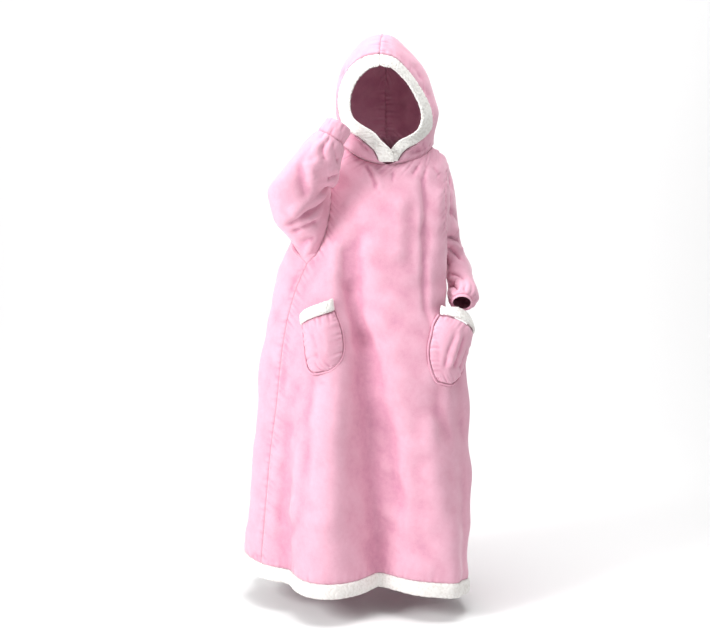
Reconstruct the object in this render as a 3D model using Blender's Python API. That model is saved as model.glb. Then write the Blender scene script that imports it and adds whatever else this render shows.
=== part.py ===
"""Wearable blanket hoodie, kept in the hollow form that it has when it is worn.

Metres, +Z up. The wearer faces -Y, so the wearer's right is at -X. The origin lies between the
shoulders, level with the top of the neck seam. Every cloth piece is a wall on one shared surface:
the body is a stack of rings, the sleeves are tubes that start at the armholes, and the hood is
two curved halves that start at the neck seam.
"""

import math
from functools import lru_cache

import bmesh
import bpy
import numpy as np

# Driving dimensions of the cloth and the trims
CLOTH = 0.004
SEAM_GAP = 0.0003
PILE = 0.014
HEM_BAND = 0.044
PIPING_RADIUS = 0.003
BAND_GAP = 0.0003
HEM_OVERLAP = 0.0006
HOOD_EDGE_GAP = 0.0015
HOOD_EDGE_DEPTH = 0.0062

# Colours as linear RGB
PINK = (0.78, 0.38, 0.48, 1.0)
CREAM = (0.86, 0.85, 0.82, 1.0)

# The body's rings from the neck seam to the hem. x and y give how far each ring reaches at the
# wearer's right, left, front and back, y_right and y_left where its sides are widest, and z the
# height at each side. bow is 1 for an ellipse, less for a squarer quarter, more for a flatter one.
RING_COLUMNS = (
    "x_right", "x_left", "y_front", "y_back", "y_right", "y_left",
    "z_right", "z_left", "z_front", "z_back",
    "bow_front_right", "bow_front_left", "bow_back_left", "bow_back_right",
)
RINGS = {
    "neck seam": (
        -0.128, 0.132, -0.138, 0.085, -0.02, -0.02,
        -0.008, -0.020, -0.074, 0.012, 1.0, 1.0, 1.0, 1.0,
    ),
    "yoke": (
        -0.150, 0.158, -0.150, 0.106, -0.01, -0.01,
        -0.020, -0.036, -0.106, -0.020, 1.0, 1.0, 1.0, 1.0,
    ),
    "shoulder point": (
        -0.168, 0.178, -0.160, 0.120, 0.00, 0.00,
        -0.038, -0.056, -0.142, -0.062, 0.95, 0.95, 1.0, 1.0,
    ),
    "high chest": (
        -0.205, 0.184, -0.170, 0.132, 0.02, -0.04,
        -0.125, -0.145, -0.205, -0.150, 0.95, 0.85, 1.1, 1.0,
    ),
    "chest": (
        -0.250, 0.178, -0.180, 0.138, 0.03, -0.07,
        -0.225, -0.250, -0.285, -0.255, 0.95, 0.80, 1.2, 1.0,
    ),
    "underarm": (
        -0.306, 0.174, -0.190, 0.145, 0.03, -0.08,
        -0.335, -0.365, -0.380, -0.370, 1.0, 0.78, 1.4, 0.95,
    ),
    "waist": (
        -0.356, 0.172, -0.200, 0.155, 0.03, -0.08,
        -0.480, -0.480, -0.480, -0.485, 1.0, 0.74, 1.4, 0.95,
    ),
    "pocket": (
        -0.378, 0.226, -0.214, 0.168, 0.03, -0.12,
        -0.625, -0.555, -0.600, -0.630, 1.0, 0.72, 1.1, 0.95,
    ),
    "thigh": (
        -0.390, 0.238, -0.216, 0.182, 0.02, -0.06,
        -0.800, -0.800, -0.800, -0.800, 1.0, 0.78, 0.95, 0.95,
    ),
    "knee": (
        -0.406, 0.243, -0.224, 0.196, 0.02, -0.06,
        -0.955, -0.965, -0.960, -0.960, 1.0, 0.80, 0.95, 0.95,
    ),
    "calf": (
        -0.424, 0.244, -0.230, 0.208, 0.02, -0.08,
        -1.105, -1.130, -1.118, -1.120, 1.0, 0.80, 0.95, 0.95,
    ),
    "hem": (
        -0.442, 0.240, -0.236, 0.220, 0.02, -0.10,
        -1.250, -1.300, -1.274, -1.280, 1.0, 0.82, 0.95, 0.95,
    ),
}
ARMHOLE_TOP = 2
ARMHOLE_BOTTOM = 5
HEM = len(RINGS) - 1
RING_SMOOTHING = 7.0

# Where the front and the back end at each side, in degrees from the centre front. Above the
# armholes this is the shoulder seam, beside them the armhole seam, and below them the side seam.
SEAM_COLUMNS = ("level", "right_front", "right_back", "left_front", "left_back")
SEAMS = (
    (0.0, 90, 90, 90, 90),
    (2.0, 90, 90, 90, 90),
    (2.35, 70, 97, 72, 108),
    (3.0, 54, 102, 64, 122),
    (3.6, 47, 103, 66, 128),
    (4.2, 44, 98, 74, 130),
    (4.7, 45, 82, 88, 123),
    (5.0, 50, 50, 108, 108),
    (7.0, 55, 55, 104, 104),
    (9.0, 60, 60, 102, 102),
    (11.0, 59, 59, 100, 100),
)

# The body's large folds: the direction of each at its top and at the hem in degrees from the
# centre front, its half width there, and how far it stands out, or in where that is negative.
FOLD_COLUMNS = (
    "top_level", "top_angle", "hem_angle", "top_width", "hem_width", "top_depth", "hem_depth",
)
FOLDS = {
    "ridge over the right knee": (4.5, -33, -23, 9, 13, 0.010, 0.058),
    "trough between the legs": (4.5, -20, 1, 6, 12, -0.016, -0.085),
    "ridge over the left knee": (5.5, 36, 42, 12, 15, 0.002, 0.030),
    "trough before the right seam": (8.0, -46, -44, 7, 7, 0.0, -0.020),
    "left chest drape": (2.6, 34, 30, 5, 5, -0.010, 0.0),
    "left side ridge": (6.5, 72, 76, 9, 10, 0.0, 0.008),
    "left back trough": (5.0, 118, 114, 8, 9, -0.006, -0.032),
    "left back ridge": (5.0, 140, 140, 8, 11, 0.004, 0.034),
    "back trough": (4.0, 163, 166, 8, 10, -0.006, -0.038),
    "centre back ridge": (4.0, 184, 190, 8, 11, 0.006, 0.036),
    "right back trough": (4.5, 212, 214, 9, 10, -0.006, -0.034),
    "right back ridge": (5.0, 238, 238, 9, 11, 0.006, 0.032),
    "right side trough": (6.0, 262, 262, 8, 9, -0.002, -0.020),
}

# How many rows and columns each piece has
YOKE_ROWS = 3
ARMHOLE_ROWS = 10
SKIRT_ROWS = 12
FRONT_COLUMNS = 26
BACK_COLUMNS = 20

# The sleeves' sections. Each runs from a top point on the line over the arm to a low point on
# the line along its other side, and its front faces the way of front_x, y and z. half_depth is
# half of its size that way, and square is less than 1 for a fuller section.
SLEEVE_COLUMNS = (
    "top_x", "top_y", "top_z", "low_x", "low_y", "low_z", "front_x", "front_y", "front_z",
    "half_depth", "square",
)
RIGHT_SLEEVE = {
    "upper arm": (-0.190, -0.055, -0.068, -0.246, -0.100, -0.338, 0.45, -0.9, 0.0, 0.080, 0.9),
    "above elbow": (-0.196, -0.105, -0.096, -0.276, -0.105, -0.292, 0.55, -0.85, 0.0, 0.086, 0.9),
    "elbow": (-0.184, -0.150, -0.128, -0.322, -0.140, -0.228, 0.45, -0.9, 0.1, 0.080, 0.9),
    "below elbow": (-0.160, -0.180, -0.132, -0.340, -0.165, -0.156, 0.1, -1.0, 0.1, 0.070, 0.9),
    "forearm": (-0.142, -0.198, -0.100, -0.296, -0.190, -0.092, 0.0, -1.0, 0.2, 0.062, 0.9),
    "above cuff": (-0.138, -0.207, -0.056, -0.238, -0.208, -0.026, 0.0, -1.0, 0.2, 0.052, 0.9),
    "gathered end": (-0.130, -0.212, -0.022, -0.196, -0.214, 0.016, 0.0, -1.0, 0.2, 0.040, 1.0),
}
LEFT_SLEEVE = {
    "upper arm": (0.192, 0.016, -0.106, 0.171, -0.014, -0.366, 0.0, -1.0, 0.0, 0.082, 0.85),
    "above elbow": (0.211, 0.030, -0.215, 0.174, 0.018, -0.374, 0.0, -1.0, 0.1, 0.082, 0.85),
    "elbow": (0.223, 0.034, -0.308, 0.182, 0.034, -0.398, 0.0, -1.0, 0.3, 0.076, 0.85),
    "below elbow": (0.252, 0.004, -0.380, 0.188, 0.008, -0.420, 0.0, -0.9, 0.6, 0.066, 0.85),
    "forearm": (0.262, -0.050, -0.436, 0.188, -0.046, -0.440, 0.0, -0.7, 0.8, 0.056, 0.9),
    "above cuff": (0.260, -0.100, -0.470, 0.188, -0.104, -0.445, 0.1, -0.65, 0.85, 0.046, 0.95),
    "gathered end": (0.243, -0.126, -0.481, 0.192, -0.138, -0.456, 0.2, -0.65, 0.85, 0.029, 1.0),
}
SLEEVE_RINGS = 14

# The cuffs are short plain tubes at the sleeves' gathered ends.
RIGHT_CUFF_LENGTH = 0.046
LEFT_CUFF_LENGTH = 0.014
CUFF_RINGS = 3


def curve(knots, values, at):
    """A smooth curve through a table's column that never swings past its values."""
    knots, values = np.asarray(knots, float), np.asarray(values, float)
    spans = np.diff(knots)
    shape = (-1,) + (1,) * (values.ndim - 1)
    slopes = np.diff(values, axis=0) / spans.reshape(shape)
    tangents = np.zeros_like(values)
    before, after = slopes[:-1], slopes[1:]
    same_way = before * after > 0
    total = np.where(same_way, before + after, 1.0)
    tangents[1:-1] = np.where(same_way, 2 * before * after / total, 0.0)
    tangents[0], tangents[-1] = slopes[0], slopes[-1]
    at = np.atleast_1d(np.asarray(at, float))
    k = np.clip(np.searchsorted(knots, at, side="right") - 1, 0, len(spans) - 1)
    span = spans[k]
    f = np.clip((at - knots[k]) / span, 0, 1).reshape(shape)
    span = span.reshape(shape)
    return (
        (2 * f**3 - 3 * f**2 + 1) * values[k]
        + (f**3 - 2 * f**2 + f) * span * tangents[k]
        + (3 * f**2 - 2 * f**3) * values[k + 1]
        + (f**3 - f**2) * span * tangents[k + 1]
    )


def spline(points, shares):
    """A smooth curve through named points, read at shares of its length from 0 to 1."""
    points = np.array(points, float)
    steps = np.linalg.norm(np.diff(points, axis=0), axis=1)
    knots = np.concatenate([[0], np.cumsum(steps)]) / steps.sum()
    tangents = np.gradient(points, knots, axis=0)
    at = np.atleast_1d(np.asarray(shares, float))
    k = np.clip(np.searchsorted(knots, at, side="right") - 1, 0, len(knots) - 2)
    span = (knots[k + 1] - knots[k])[:, None]
    f = ((at - knots[k]) / span[:, 0])[:, None]
    return (
        (2 * f**3 - 3 * f**2 + 1) * points[k]
        + (f**3 - 2 * f**2 + f) * span * tangents[k]
        + (3 * f**2 - 2 * f**3) * points[k + 1]
        + (f**3 - f**2) * span * tangents[k + 1]
    )


def unit(vectors):
    lengths = np.linalg.norm(vectors, axis=-1, keepdims=True)
    return vectors / np.maximum(lengths, 1e-12)


def ring_row(level):
    """The ring table's row at a level, which may lie between two named rings."""
    table = np.array(list(RINGS.values()))
    return dict(zip(RING_COLUMNS, curve(np.arange(len(table)), table, level)[0]))


def fold_offsets(level, degrees):
    """How far the folds move a ring outwards at each direction."""
    moved = np.zeros_like(degrees)
    for values in FOLDS.values():
        fold = dict(zip(FOLD_COLUMNS, values))
        share = (level - fold["top_level"]) / (HEM - fold["top_level"])
        fade = np.clip(share / 0.15 + 1, 0, 1)
        share = np.clip(share, 0, 1)
        angle = fold["top_angle"] + (fold["hem_angle"] - fold["top_angle"]) * share
        width = fold["top_width"] + (fold["hem_width"] - fold["top_width"]) * share
        depth = fold["top_depth"] + (fold["hem_depth"] - fold["top_depth"]) * share**1.2
        away = (degrees - angle + 180) % 360 - 180
        moved += fade * depth * np.exp(-((away / width) ** 2))
    return moved


@lru_cache(maxsize=None)
def ring(level):
    """A closed ring of the body: its points at each degree from the centre front towards the
    wearer's left, those degrees from -180 to 180, and the distance along it from the front."""
    row = ring_row(level)
    degrees = np.arange(-180.0, 181.0)
    sine, cosine = np.sin(np.radians(degrees)), np.cos(np.radians(degrees))
    left, front = sine >= 0, cosine >= 0
    bow = np.where(
        front,
        np.where(left, row["bow_front_left"], row["bow_front_right"]),
        np.where(left, row["bow_back_left"], row["bow_back_right"]),
    )
    y_side = np.where(left, row["y_left"], row["y_right"])
    z_side = np.where(left, row["z_left"], row["z_right"])
    y_end = np.where(front, row["y_front"], row["y_back"])
    z_end = np.where(front, row["z_front"], row["z_back"])
    points = np.stack(
        [
            np.where(left, row["x_left"], row["x_right"]) * np.abs(sine) ** bow,
            y_side + (y_end - y_side) * np.abs(cosine) ** bow,
            z_side + (z_end - z_side) * np.abs(cosine) ** 1.4,
        ],
        axis=1,
    )
    reach = int(3 * RING_SMOOTHING)
    weights = np.exp(-0.5 * (np.arange(-reach, reach + 1) / RING_SMOOTHING) ** 2)
    weights /= weights.sum()
    loop = np.concatenate([points[-1 - reach : -1], points, points[1 : 1 + reach]])
    points = np.stack([np.convolve(loop[:, k], weights, "valid") for k in range(3)], axis=1)
    centre = np.array([points[:, 0].mean(), points[:, 1].mean(), 0.0])
    outward = unit((points - centre) * (1, 1, 0))
    points = points + outward * fold_offsets(level, degrees)[:, None]
    along = np.concatenate([[0], np.cumsum(np.linalg.norm(np.diff(points, axis=0), axis=1))])
    return points, degrees, along - along[180]


def distance_at(level, degrees):
    """How far along its ring a direction lies, from the centre front."""
    _, all_degrees, along = ring(level)
    return float(np.interp(degrees, all_degrees, along))


def body_points(level, distances):
    """Points on the body's surface at a level, at distances along the ring from the front."""
    points, _, along = ring(level)
    whole = along[-1] - along[0]
    wrapped = (np.asarray(distances) - along[0]) % whole + along[0]
    return np.stack([np.interp(wrapped, along, points[:, k]) for k in range(3)], axis=-1)


def body_normal(level, distance, step=0.006):
    """The outward direction of the body's surface."""
    rows = [body_points(at, distance) for at in (level - 0.05, level + 0.05)]
    sides = body_points(level, [distance - step, distance + step])
    return unit(np.cross(rows[1] - rows[0], sides[1] - sides[0]))


def seam(name, level):
    """The direction of a seam at a level, in degrees: the right side's is below 0."""
    table = np.array(SEAMS, float)
    if level >= ARMHOLE_BOTTOM:
        table = table[table[:, 0] >= ARMHOLE_BOTTOM]
    value = float(curve(table[:, 0], table[:, SEAM_COLUMNS.index(name)], level)[0])
    return -value if name.startswith("right") else value


def body_levels():
    return np.concatenate(
        [
            np.linspace(0, ARMHOLE_TOP, YOKE_ROWS + 1)[:-1],
            np.linspace(ARMHOLE_TOP, ARMHOLE_BOTTOM, ARMHOLE_ROWS + 1)[:-1],
            np.linspace(ARMHOLE_BOTTOM, HEM, SKIRT_ROWS + 1),
        ]
    )


def panel_grid(start_seam, end_seam, columns, past_back=False):
    """The front or the back as rows of points, from one seam to the other on every ring."""
    rows = []
    for level in body_levels():
        start = distance_at(level, seam(start_seam, level))
        end = distance_at(level, seam(end_seam, level))
        if past_back:
            _, _, along = ring(level)
            end += along[-1] - along[0]
        rows.append(body_points(level, np.linspace(start, end, columns + 1)))
    return np.array(rows)


def armhole_loop(front_edge, back_edge):
    """The armhole from the shoulder point down the front and up the back."""
    first, last = YOKE_ROWS, YOKE_ROWS + ARMHOLE_ROWS
    down = front_edge[first : last + 1]
    up = back_edge[first + 1 : last][::-1]
    return np.concatenate([down, up])


def sleeve_grid(armhole, sections):
    """A sleeve as rings of points that start at the armhole and pass through its sections."""
    count = len(armhole)
    turn = 2 * np.pi * np.arange(count) / count
    table = [dict(zip(SLEEVE_COLUMNS, row)) for row in sections.values()]
    tops = np.array([(s["top_x"], s["top_y"], s["top_z"]) for s in table])
    lows = np.array([(s["low_x"], s["low_y"], s["low_z"]) for s in table])
    centres = np.concatenate([[armhole.mean(axis=0)], (tops + lows) / 2])
    steps = np.linalg.norm(np.diff(centres, axis=0), axis=1)
    knots = np.concatenate([[0], np.cumsum(steps)]) / steps.sum()
    rings = [armhole]
    for top, low, s in zip(tops, lows, table):
        half = (low - top) / 2
        front = np.array((s["front_x"], s["front_y"], s["front_z"]))
        front = unit(front - unit(half) * front.dot(unit(half))) * s["half_depth"]
        cosine, sine = np.cos(turn), np.sin(turn)
        across = np.sign(cosine) * np.abs(cosine) ** s["square"]
        forward = np.sign(sine) * np.abs(sine) ** s["square"]
        rings.append((top + low) / 2 - across[:, None] * half + forward[:, None] * front)
    shares = np.linspace(0, 1, SLEEVE_RINGS + 1)
    return curve(knots, np.array(rings), shares)


def cuff_grid(end_ring, way, length):
    """A cuff that goes on from a sleeve's last ring."""
    centre = end_ring.mean(axis=0)
    rows = []
    for share in np.linspace(0, 1, CUFF_RINGS + 1):
        rows.append(centre + (end_ring - centre) * (1 - 0.06 * share) + way * length * share)
    return np.array(rows)


def grid_normals(pieces):
    """Outward directions for every grid, shared where pieces meet, so that their walls meet in
    one plane. pieces holds (name, grid, closed_across, sign)."""
    sums = {}
    keys = {}
    for name, grid, closed, sign in pieces:
        keys[name] = [[tuple(np.round(p * 1e5).astype(int)) for p in row] for row in grid]
        rows, columns = grid.shape[:2]
        for r in range(rows - 1):
            for c in range(columns if closed else columns - 1):
                d = (c + 1) % columns
                corners = grid[r, c], grid[r, d], grid[r + 1, d], grid[r + 1, c]
                normal = unit(np.cross(corners[2] - corners[0], corners[1] - corners[3])) * sign
                for rr, cc in ((r, c), (r, d), (r + 1, d), (r + 1, c)):
                    key = keys[name][rr][cc]
                    sums[key] = sums.get(key, 0) + normal
    return {
        name: unit(np.array([[sums[key] for key in row] for row in keys[name]]))
        for name, *_ in pieces
    }


def drawn_in(grid, closed, gap):
    """The grid with its free edges moved in by half a seam gap."""
    grid = grid.copy()
    inner = grid.copy()
    for edge, neighbour in ((0, 1), (-1, -2)):
        grid[edge] += unit(inner[neighbour] - inner[edge]) * gap / 2
        if not closed:
            grid[:, edge] += unit(inner[:, neighbour] - inner[:, edge]) * gap / 2
    return grid


def new_object(name, bm, material):
    bmesh.ops.recalc_face_normals(bm, faces=bm.faces)
    mesh = bpy.data.meshes.new(name)
    bm.to_mesh(mesh)
    bm.free()
    mesh.materials.append(material)
    mesh.shade_smooth()
    mesh.set_sharp_from_angle(angle=math.radians(50))
    made = bpy.data.objects.new(name, mesh)
    GARMENT.objects.link(made)
    return made


def close_edge(bm, outer_a, outer_b, inner_b, inner_a):
    """Two triangles across a wall's edge. Which way they are split depends on the place alone,
    so that two walls that meet at a twisted seam are split alike and don't cross."""
    across = outer_a.co - outer_b.co
    if across.z + 0.37 * across.x + 0.21 * across.y > 0:
        bm.faces.new((outer_a, outer_b, inner_b))
        bm.faces.new((outer_a, inner_b, inner_a))
    else:
        bm.faces.new((outer_a, outer_b, inner_a))
        bm.faces.new((outer_b, inner_b, inner_a))


def wall(name, grid, normals, material, closed=False, gap=SEAM_GAP, thickness=CLOTH):
    """A cloth wall on a grid of points: an outer and an inner skin, joined round the edges."""
    grid = drawn_in(grid, closed, gap)
    rows, columns = grid.shape[:2]
    bm = bmesh.new()
    skins = []
    for offset in (thickness / 2, -thickness / 2):
        moved = grid + normals * offset
        skins.append([[bm.verts.new(p) for p in row] for row in moved])
    outer, inner = skins
    last = columns if closed else columns - 1
    for r in range(rows - 1):
        for c in range(last):
            d = (c + 1) % columns
            bm.faces.new((outer[r][c], outer[r][d], outer[r + 1][d], outer[r + 1][c]))
            bm.faces.new((inner[r + 1][c], inner[r + 1][d], inner[r][d], inner[r][c]))
    for r in (0, rows - 1):
        for c in range(last):
            d = (c + 1) % columns
            close_edge(bm, outer[r][c], outer[r][d], inner[r][d], inner[r][c])
    if not closed:
        for c in (0, columns - 1):
            for r in range(rows - 1):
                close_edge(bm, outer[r][c], outer[r + 1][c], inner[r + 1][c], inner[r][c])
    return new_object(name, bm, material)


def band(name, near_edge, far_edge, normals, thickness, material, closed=False, sides=10):
    """A soft rounded band between two edges, such as a strip of pile fabric."""
    centres = (near_edge + far_edge) / 2
    across = (far_edge - near_edge) / 2
    across = across - unit(across) * SEAM_GAP
    turn = 2 * np.pi * (np.arange(sides) + 0.5) / sides
    flat = np.sign(np.cos(turn)) * np.abs(np.cos(turn)) ** 0.7
    proud = np.sign(np.sin(turn)) * np.abs(np.sin(turn)) ** 0.7
    thickness = np.broadcast_to(thickness, len(centres))
    bm = bmesh.new()
    rings = []
    for centre, wide, normal, thick in zip(centres, across, normals, thickness):
        points = centre + flat[:, None] * wide + proud[:, None] * normal * thick / 2
        rings.append([bm.verts.new(p) for p in points])
    count = len(rings)
    for r in range(count if closed else count - 1):
        nearer, farther = rings[r], rings[(r + 1) % count]
        for k in range(sides):
            n = (k + 1) % sides
            bm.faces.new((nearer[k], nearer[n], farther[n], farther[k]))
    if not closed:
        bm.faces.new(rings[0])
        bm.faces.new(rings[-1][::-1])
    return new_object(name, bm, material)


def new_material(name, colour, roughness):
    material = bpy.data.materials.new(name)
    material.use_nodes = True
    shader = material.node_tree.nodes["Principled BSDF"]
    shader.inputs["Base Color"].default_value = colour
    shader.inputs["Roughness"].default_value = roughness
    shader.inputs["Metallic"].default_value = 0.0
    material.diffuse_color = colour
    return material


# The hood's edges on the wearer's left, from the centre front up to the forehead. The outer edge
# is where the pile band meets the cloth, and the inner edge is the opening for the face.
LEFT_OUTER_EDGE = (
    (0.028, -0.1465, -0.066),
    (0.038, -0.144, -0.045),
    (0.058, -0.137, -0.027),
    (0.081, -0.124, -0.015),
    (0.108, -0.106, 0.006),
    (0.128, -0.088, 0.032),
    (0.130, -0.080, 0.067),
    (0.119, -0.081, 0.104),
    (0.102, -0.086, 0.135),
    (0.079, -0.095, 0.168),
    (0.049, -0.107, 0.203),
    (0.014, -0.120, 0.230),
    (-0.023, -0.125, 0.238),
)
LEFT_INNER_EDGE = (
    (-0.003, -0.1440, -0.058),
    (0.010, -0.1450, -0.028),
    (0.034, -0.142, -0.004),
    (0.057, -0.138, 0.007),
    (0.081, -0.130, 0.022),
    (0.095, -0.122, 0.048),
    (0.094, -0.118, 0.082),
    (0.081, -0.120, 0.115),
    (0.063, -0.125, 0.146),
    (0.040, -0.132, 0.173),
    (0.011, -0.140, 0.196),
    (-0.023, -0.143, 0.203),
)
RIGHT_OUTER_EDGE = (
    (-0.026, -0.1620, -0.067),
    (-0.037, -0.1605, -0.039),
    (-0.060, -0.153, -0.016),
    (-0.088, -0.136, 0.007),
    (-0.117, -0.116, 0.025),
    (-0.137, -0.092, 0.061),
    (-0.143, -0.081, 0.099),
    (-0.140, -0.081, 0.136),
    (-0.129, -0.087, 0.172),
    (-0.104, -0.101, 0.208),
    (-0.068, -0.116, 0.231),
    (-0.023, -0.125, 0.238),
)
RIGHT_INNER_EDGE = (
    (0.020, -0.1640, -0.067),
    (0.008, -0.1660, -0.033),
    (-0.017, -0.163, -0.008),
    (-0.040, -0.152, 0.018),
    (-0.068, -0.142, 0.035),
    (-0.100, -0.127, 0.061),
    (-0.108, -0.119, 0.093),
    (-0.105, -0.119, 0.124),
    (-0.094, -0.123, 0.152),
    (-0.074, -0.130, 0.179),
    (-0.051, -0.138, 0.196),
    (-0.023, -0.143, 0.203),
)
CROWN_SEAM = (
    (-0.023, -0.123, 0.242),
    (-0.019, -0.085, 0.282),
    (-0.010, -0.020, 0.306),
    (-0.004, 0.050, 0.292),
    (0.0, 0.110, 0.240),
    (0.0, 0.142, 0.160),
)
NAPE_SEAM = (
    (0.0, 0.085, 0.012),
    (0.0, 0.112, 0.048),
    (0.0, 0.134, 0.100),
    (0.0, 0.142, 0.160),
)
HOOD_CENTRE = np.array((0.0, -0.01, 0.10))
HOOD_RADII = np.array((0.139, 0.152, 0.205))
HOOD_ROWS = 13
TRIM_STATIONS = 26


def hood_grid(neck, trim):
    """One half of the hood between the neck seam, the pile band and the centre seams. The four
    edges are joined as directions from the head's middle, so that the half is as round as they
    are. neck holds the panels' own points from the front to the centre back."""
    u = np.linspace(0, 1, len(neck))
    v = np.linspace(0, 1, HOOD_ROWS + 1)
    outer, inner, outward = trim
    shares = np.linspace(0, 1, len(outer))
    outer, away, outward = [
        np.stack([np.interp(v, shares, values[:, k]) for k in range(3)], axis=1)
        for values in (outer, unit(outer - inner), outward)
    ]
    front = outer + away * HOOD_EDGE_GAP - outward * HOOD_EDGE_DEPTH
    crown = spline(CROWN_SEAM, u)
    nape = spline(NAPE_SEAM, v)
    front[0] = neck[0]
    front[-1, 0] = crown[0, 0]
    crown[0] = front[-1]
    nape[0] = neck[-1]
    neck, crown, front, nape = [
        (edge - HOOD_CENTRE) / HOOD_RADII for edge in (neck, crown, front, nape)
    ]
    uu, vv = u[None, :, None], v[:, None, None]
    ways = patch(unit(neck), unit(crown), unit(front), unit(nape), uu, vv)
    lengths = [np.linalg.norm(edge, axis=1)[:, None] for edge in (neck, crown, front, nape)]
    return HOOD_CENTRE + unit(ways) * patch(*lengths, uu, vv) * HOOD_RADII


def patch(low, high, near, far, uu, vv):
    """The surface that blends four edges: low and high run along uu, near and far along vv."""
    ruled = (1 - vv) * low[None] + vv * high[None] + (1 - uu) * near[:, None] + uu * far[:, None]
    corners = (
        (1 - uu) * (1 - vv) * low[0]
        + uu * (1 - vv) * low[-1]
        + (1 - uu) * vv * high[0]
        + uu * vv * high[-1]
    )
    return ruled - corners


def trim_edges(outer_edge, inner_edge, side):
    """The edges and outward directions of the pile band, which stops at the centre seam."""
    shares = np.linspace(0, 1, TRIM_STATIONS + 1)
    outer, inner = spline(outer_edge, shares), spline(inner_edge, shares)
    along = np.gradient((outer + inner) / 2, axis=0)
    normals = unit(np.cross(along, inner - outer))
    normals *= np.where(normals[:, 1:2] > 0, -1, 1)
    normals[-1] = unit(normals[-1] * (0, 1, 1))
    outer[-1, 0] += side * SEAM_GAP
    inner[-1, 0] += side * SEAM_GAP
    return outer, inner, normals


# The patch pockets: the height of each one's middle and its distance from the centre front along
# the body, how many degrees its mouth slopes up towards the wearer's left and how many its sides
# lean that way, its width and height, how far its middle stands away from the body, and the gap
# between its sewn edge and the panel.
POCKET_COLUMNS = (
    "middle_z", "distance", "slope", "lean", "width", "height", "bulge", "gap", "mouth_gap",
)
POCKETS = {
    "right": (-0.586, -0.205, 25.0, 4.0, 0.106, 0.150, 0.018, 0.0018, 0.0),
    "left": (-0.616, 0.192, -29.0, -10.0, 0.136, 0.164, 0.026, 0.0023, 0.0020),
}
# The outline of each pocket: a share of its height, and how far its right and left edges lie
# from its middle there, as shares of half of its width.
POCKET_OUTLINES = {
    "right": (
        (0.0, -1.0, 0.88), (0.25, -0.98, 1.02), (0.5, -0.96, 1.10), (0.7, -0.92, 1.06),
        (0.85, -0.84, 0.88), (0.95, -0.68, 0.56), (1.0, -0.46, 0.24),
    ),
    "left": (
        (0.0, -0.80, 1.0), (0.15, -0.93, 0.90), (0.32, -1.03, 0.80), (0.5, -1.06, 0.72),
        (0.68, -0.98, 0.64), (0.85, -0.78, 0.46), (0.95, -0.60, 0.24), (1.0, -0.46, 0.04),
    ),
}
POCKET_BAND = 0.034
POCKET_COLUMN_COUNT = 8
POCKET_ROW_COUNT = 9


def panel_column(distance):
    """The front panel's own places and outward directions at a distance from the centre front."""
    places, ways = [], []
    for row, level in enumerate(body_levels()):
        start = distance_at(level, seam("right_front", level))
        end = distance_at(level, seam("left_front", level))
        column = (distance - start) / (end - start) * FRONT_COLUMNS
        column = min(max(column, 0), FRONT_COLUMNS - 0.001)
        c = int(column)
        f = column - c
        for found, grid in ((places, front), (ways, normals["front_panel"])):
            found.append(grid[row, c] * (1 - f) + grid[row, c + 1] * f)
    return np.array(places), np.array(ways)


def pocket_place(side, across, down):
    """A place on the panel and its outward direction, in metres from a pocket's middle."""
    slope = math.tan(math.radians(pocket_value(side, "slope")))
    lean = math.tan(math.radians(pocket_value(side, "lean")))
    right = across + down * lean
    below = down - across * slope * (0.75 - 0.5 * down / pocket_value(side, "height"))
    places, ways = panel_column(pocket_value(side, "distance") + right)
    along = np.concatenate([[0], np.cumsum(np.linalg.norm(np.diff(places, axis=0), axis=1))])
    at = np.interp(-pocket_value(side, "middle_z"), -places[:, 2], along) + below
    place = np.array([np.interp(at, along, places[:, k]) for k in range(3)])
    return place, unit(np.array([np.interp(at, along, ways[:, k]) for k in range(3)]))


def pocket_value(side, name):
    return dict(zip(POCKET_COLUMNS, POCKETS[side]))[name]


def pocket_reach(side, across, down):
    """How far from the pocket's middle a share of its width lies, at a share of its height."""
    outline = np.array(POCKET_OUTLINES[side])
    near, far = curve(outline[:, 0], outline[:, 1:], np.clip(down, 0, 1))[0]
    return (near + (far - near) * (across + 1) / 2) * pocket_value(side, "width") / 2


def pocket_stand(side, across, down):
    """How far the pocket's cloth stands out from the panel's middle surface."""
    dome = max(1 - across**2, 0) ** 0.75 * max(1 - down**2.4, 0) ** 0.9
    return CLOTH + pocket_value(side, "gap") + pocket_value(side, "bulge") * dome


def pocket_grids(side):
    """The pocket's cloth as rows of points, and their outward directions."""
    points, ways = [], []
    for down in np.linspace(0, 1, POCKET_ROW_COUNT + 1):
        row, row_ways = [], []
        for across in np.linspace(-1, 1, POCKET_COLUMN_COUNT + 1):
            below = (down - 0.5) * pocket_value(side, "height")
            place, way = pocket_place(side, pocket_reach(side, across, down), below)
            row.append(place + way * pocket_stand(side, across, down))
            row_ways.append(way)
        points.append(row)
        ways.append(row_ways)
    return np.array(points), np.array(ways)


def pocket_band_edges(side):
    """The lower and upper edges of the pile band at a pocket's mouth, and its directions."""
    low, high, ways = [], [], []
    for across in np.linspace(-1, 1, POCKET_COLUMN_COUNT + 1):
        stand = pocket_stand(side, across, 0.0) + PILE / 2 - CLOTH / 2
        stand += pocket_value(side, "mouth_gap")
        for edge, down in ((low, 0.0), (high, -POCKET_BAND)):
            below = down - pocket_value(side, "height") / 2 - BAND_GAP
            place, way = pocket_place(side, pocket_reach(side, across * 1.03, 0), below)
            edge.append(place + way * stand)
        ways.append(way)
    return np.array(low), np.array(high), np.array(ways)


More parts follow.
